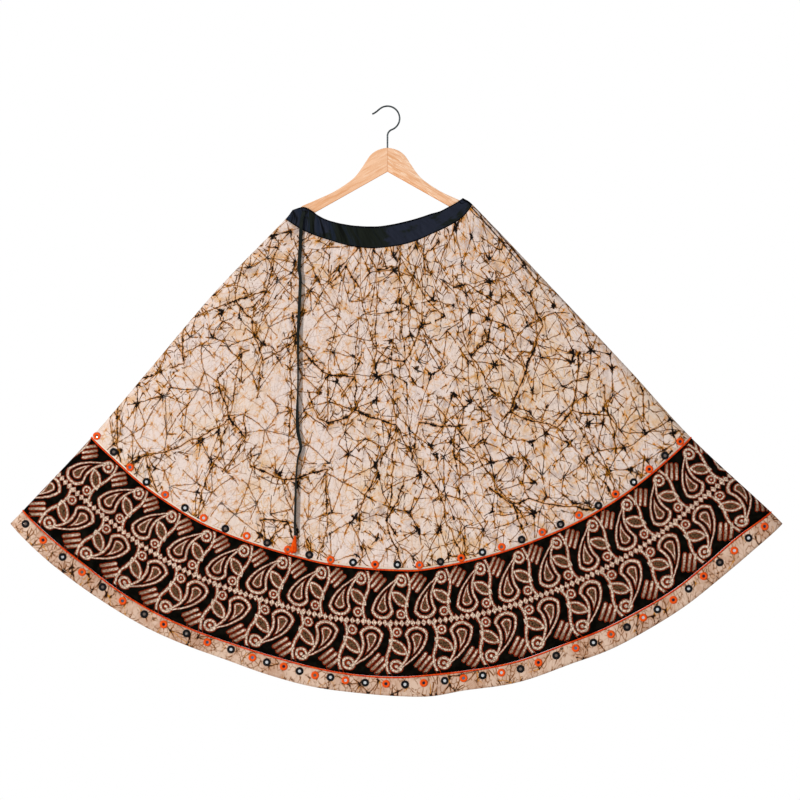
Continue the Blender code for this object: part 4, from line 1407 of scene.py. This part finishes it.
def hanger_arm(name, side, span, node, finish):
    """One arm: a strip of stations from the mitre to the rounded tip, thickened and rounded."""
    tip = span - ARM_TIP_REACH
    reach, top_z = np.array(ARM_TOP_EDGE).T
    inner = np.linspace(0.0, tip, 44)
    fine = smooth_path(np.stack([reach, top_z, 0 * reach], axis=1), 300)
    top = np.interp(inner, fine[:, 0], fine[:, 1])
    under = ARM_UNDER_CENTRE - ARM_UNDER_SLOPE * inner
    turn = np.linspace(0.0, np.pi / 2, 11)[1:-1]
    half = (top[-1] - under[-1]) / 2
    middle = (top[-1] + under[-1]) / 2 - ARM_UNDER_SLOPE * ARM_TIP_REACH * np.sin(turn)
    stations = np.concatenate([
        np.stack([inner, top, under], axis=1),
        np.stack([tip + ARM_TIP_REACH * np.sin(turn), middle + half * np.cos(turn),
                  middle - half * np.cos(turn)], axis=1)])
    bpy.ops.object.select_all(action="DESELECT")
    bpy.ops.mesh.primitive_grid_add(
        x_subdivisions=len(stations) - 1, y_subdivisions=1, size=2.0)
    arm = bpy.context.object
    arm.name = name
    arm.data.name = name
    for point in arm.data.vertices:
        number = round((point.co.x + 1.0) / 2.0 * (len(stations) - 1))
        out, above, below = stations[number]
        high = above if point.co.y > 0.0 else below
        point.co = (side * out, -ARM_THICKNESS / 2, high)
    bpy.ops.object.mode_set(mode="EDIT")
    bpy.ops.mesh.select_all(action="SELECT")
    draw_out(0.0, ARM_THICKNESS, 0.0)
    face_outwards()
    shape = bmesh.new()
    shape.from_mesh(arm.data)
    sharp = [edge for edge in shape.edges
             if edge.calc_face_angle() > math.radians(50)
             and max(abs(point.co.x) for point in edge.verts) > 0.001]
    bmesh.ops.bevel(shape, geom=sharp, offset=ARM_EDGE_ROUND, segments=5, profile=0.5,
                    affect="EDGES", clamp_overlap=True)
    shape.to_mesh(arm.data)
    shape.free()
    finish_off(arm, finish, node)


hanger_arm("arm_left", -1, 0.183, "hanger_arm_left", beech("beech_left", 29.4, 0.60, 1.0, 0.30))
hanger_arm("arm_right", 1, 0.158, "hanger_arm_right", beech("beech_right", -29.4, 0.80, 2.2, 0.75))


# The hook: one steel wire, dull grey, pushed into the arms' seam and bent by hand round a
# former: up, out to the right, round over the rail, and a little flare at its tip.
WIRE_RADIUS = 0.0017
HOOK_FOOT = -0.0817
BEND_START = -0.0577
BEND_RADIUS = 0.0132
HOOK_MIDDLE = (0.0, -0.0226)
TIP_RUN = (-0.00577, 0.0, -0.00484)
TIP_MIDDLE = (-0.04084, 0.01435)


def drawn_steel():
    made = finish_of("drawn_steel", 0.30, 0.5)
    shader.inputs["Metallic"].default_value = 1.0
    dull = noise(own_place(), 420.0)
    colour = mixed(eased(dull, 0.35, 0.70), (58, 64, 66), (96, 104, 107))
    paint(colour)
    tree.links.new(eased(dull, 0.3, 0.7, 0.38, 0.55), shader.inputs["Roughness"])
    return made


def bend(degrees, centre, steps):
    """Carries the wire's open end round a former, in the plane of the skirt."""
    bpy.ops.mesh.spin(steps=steps, angle=math.radians(degrees), center=(centre[0], 0.0, centre[1]),
                      axis=(0.0, 1.0, 0.0), dupli=False, use_auto_merge=False)


bpy.ops.object.select_all(action="DESELECT")
bpy.ops.mesh.primitive_circle_add(vertices=16, radius=WIRE_RADIUS, location=(0.0, 0.0, HOOK_FOOT))
hook = bpy.context.object
hook.name = "wire_hook"
hook.data.name = "wire_hook"
bpy.ops.object.transform_apply(location=True)
bpy.ops.object.mode_set(mode="EDIT")
bpy.ops.mesh.select_all(action="SELECT")
draw_out(0.0, 0.0, BEND_START - HOOK_FOOT)
bend(-69.4, (BEND_RADIUS, BEND_START), 14)
bend(199.4, HOOK_MIDDLE, 44)
draw_out(*TIP_RUN)
bend(-20.0, TIP_MIDDLE, 6)
bpy.ops.mesh.edge_face_add()
face_outwards()
finish_off(hook, drawn_steel(), "hanger_hook")
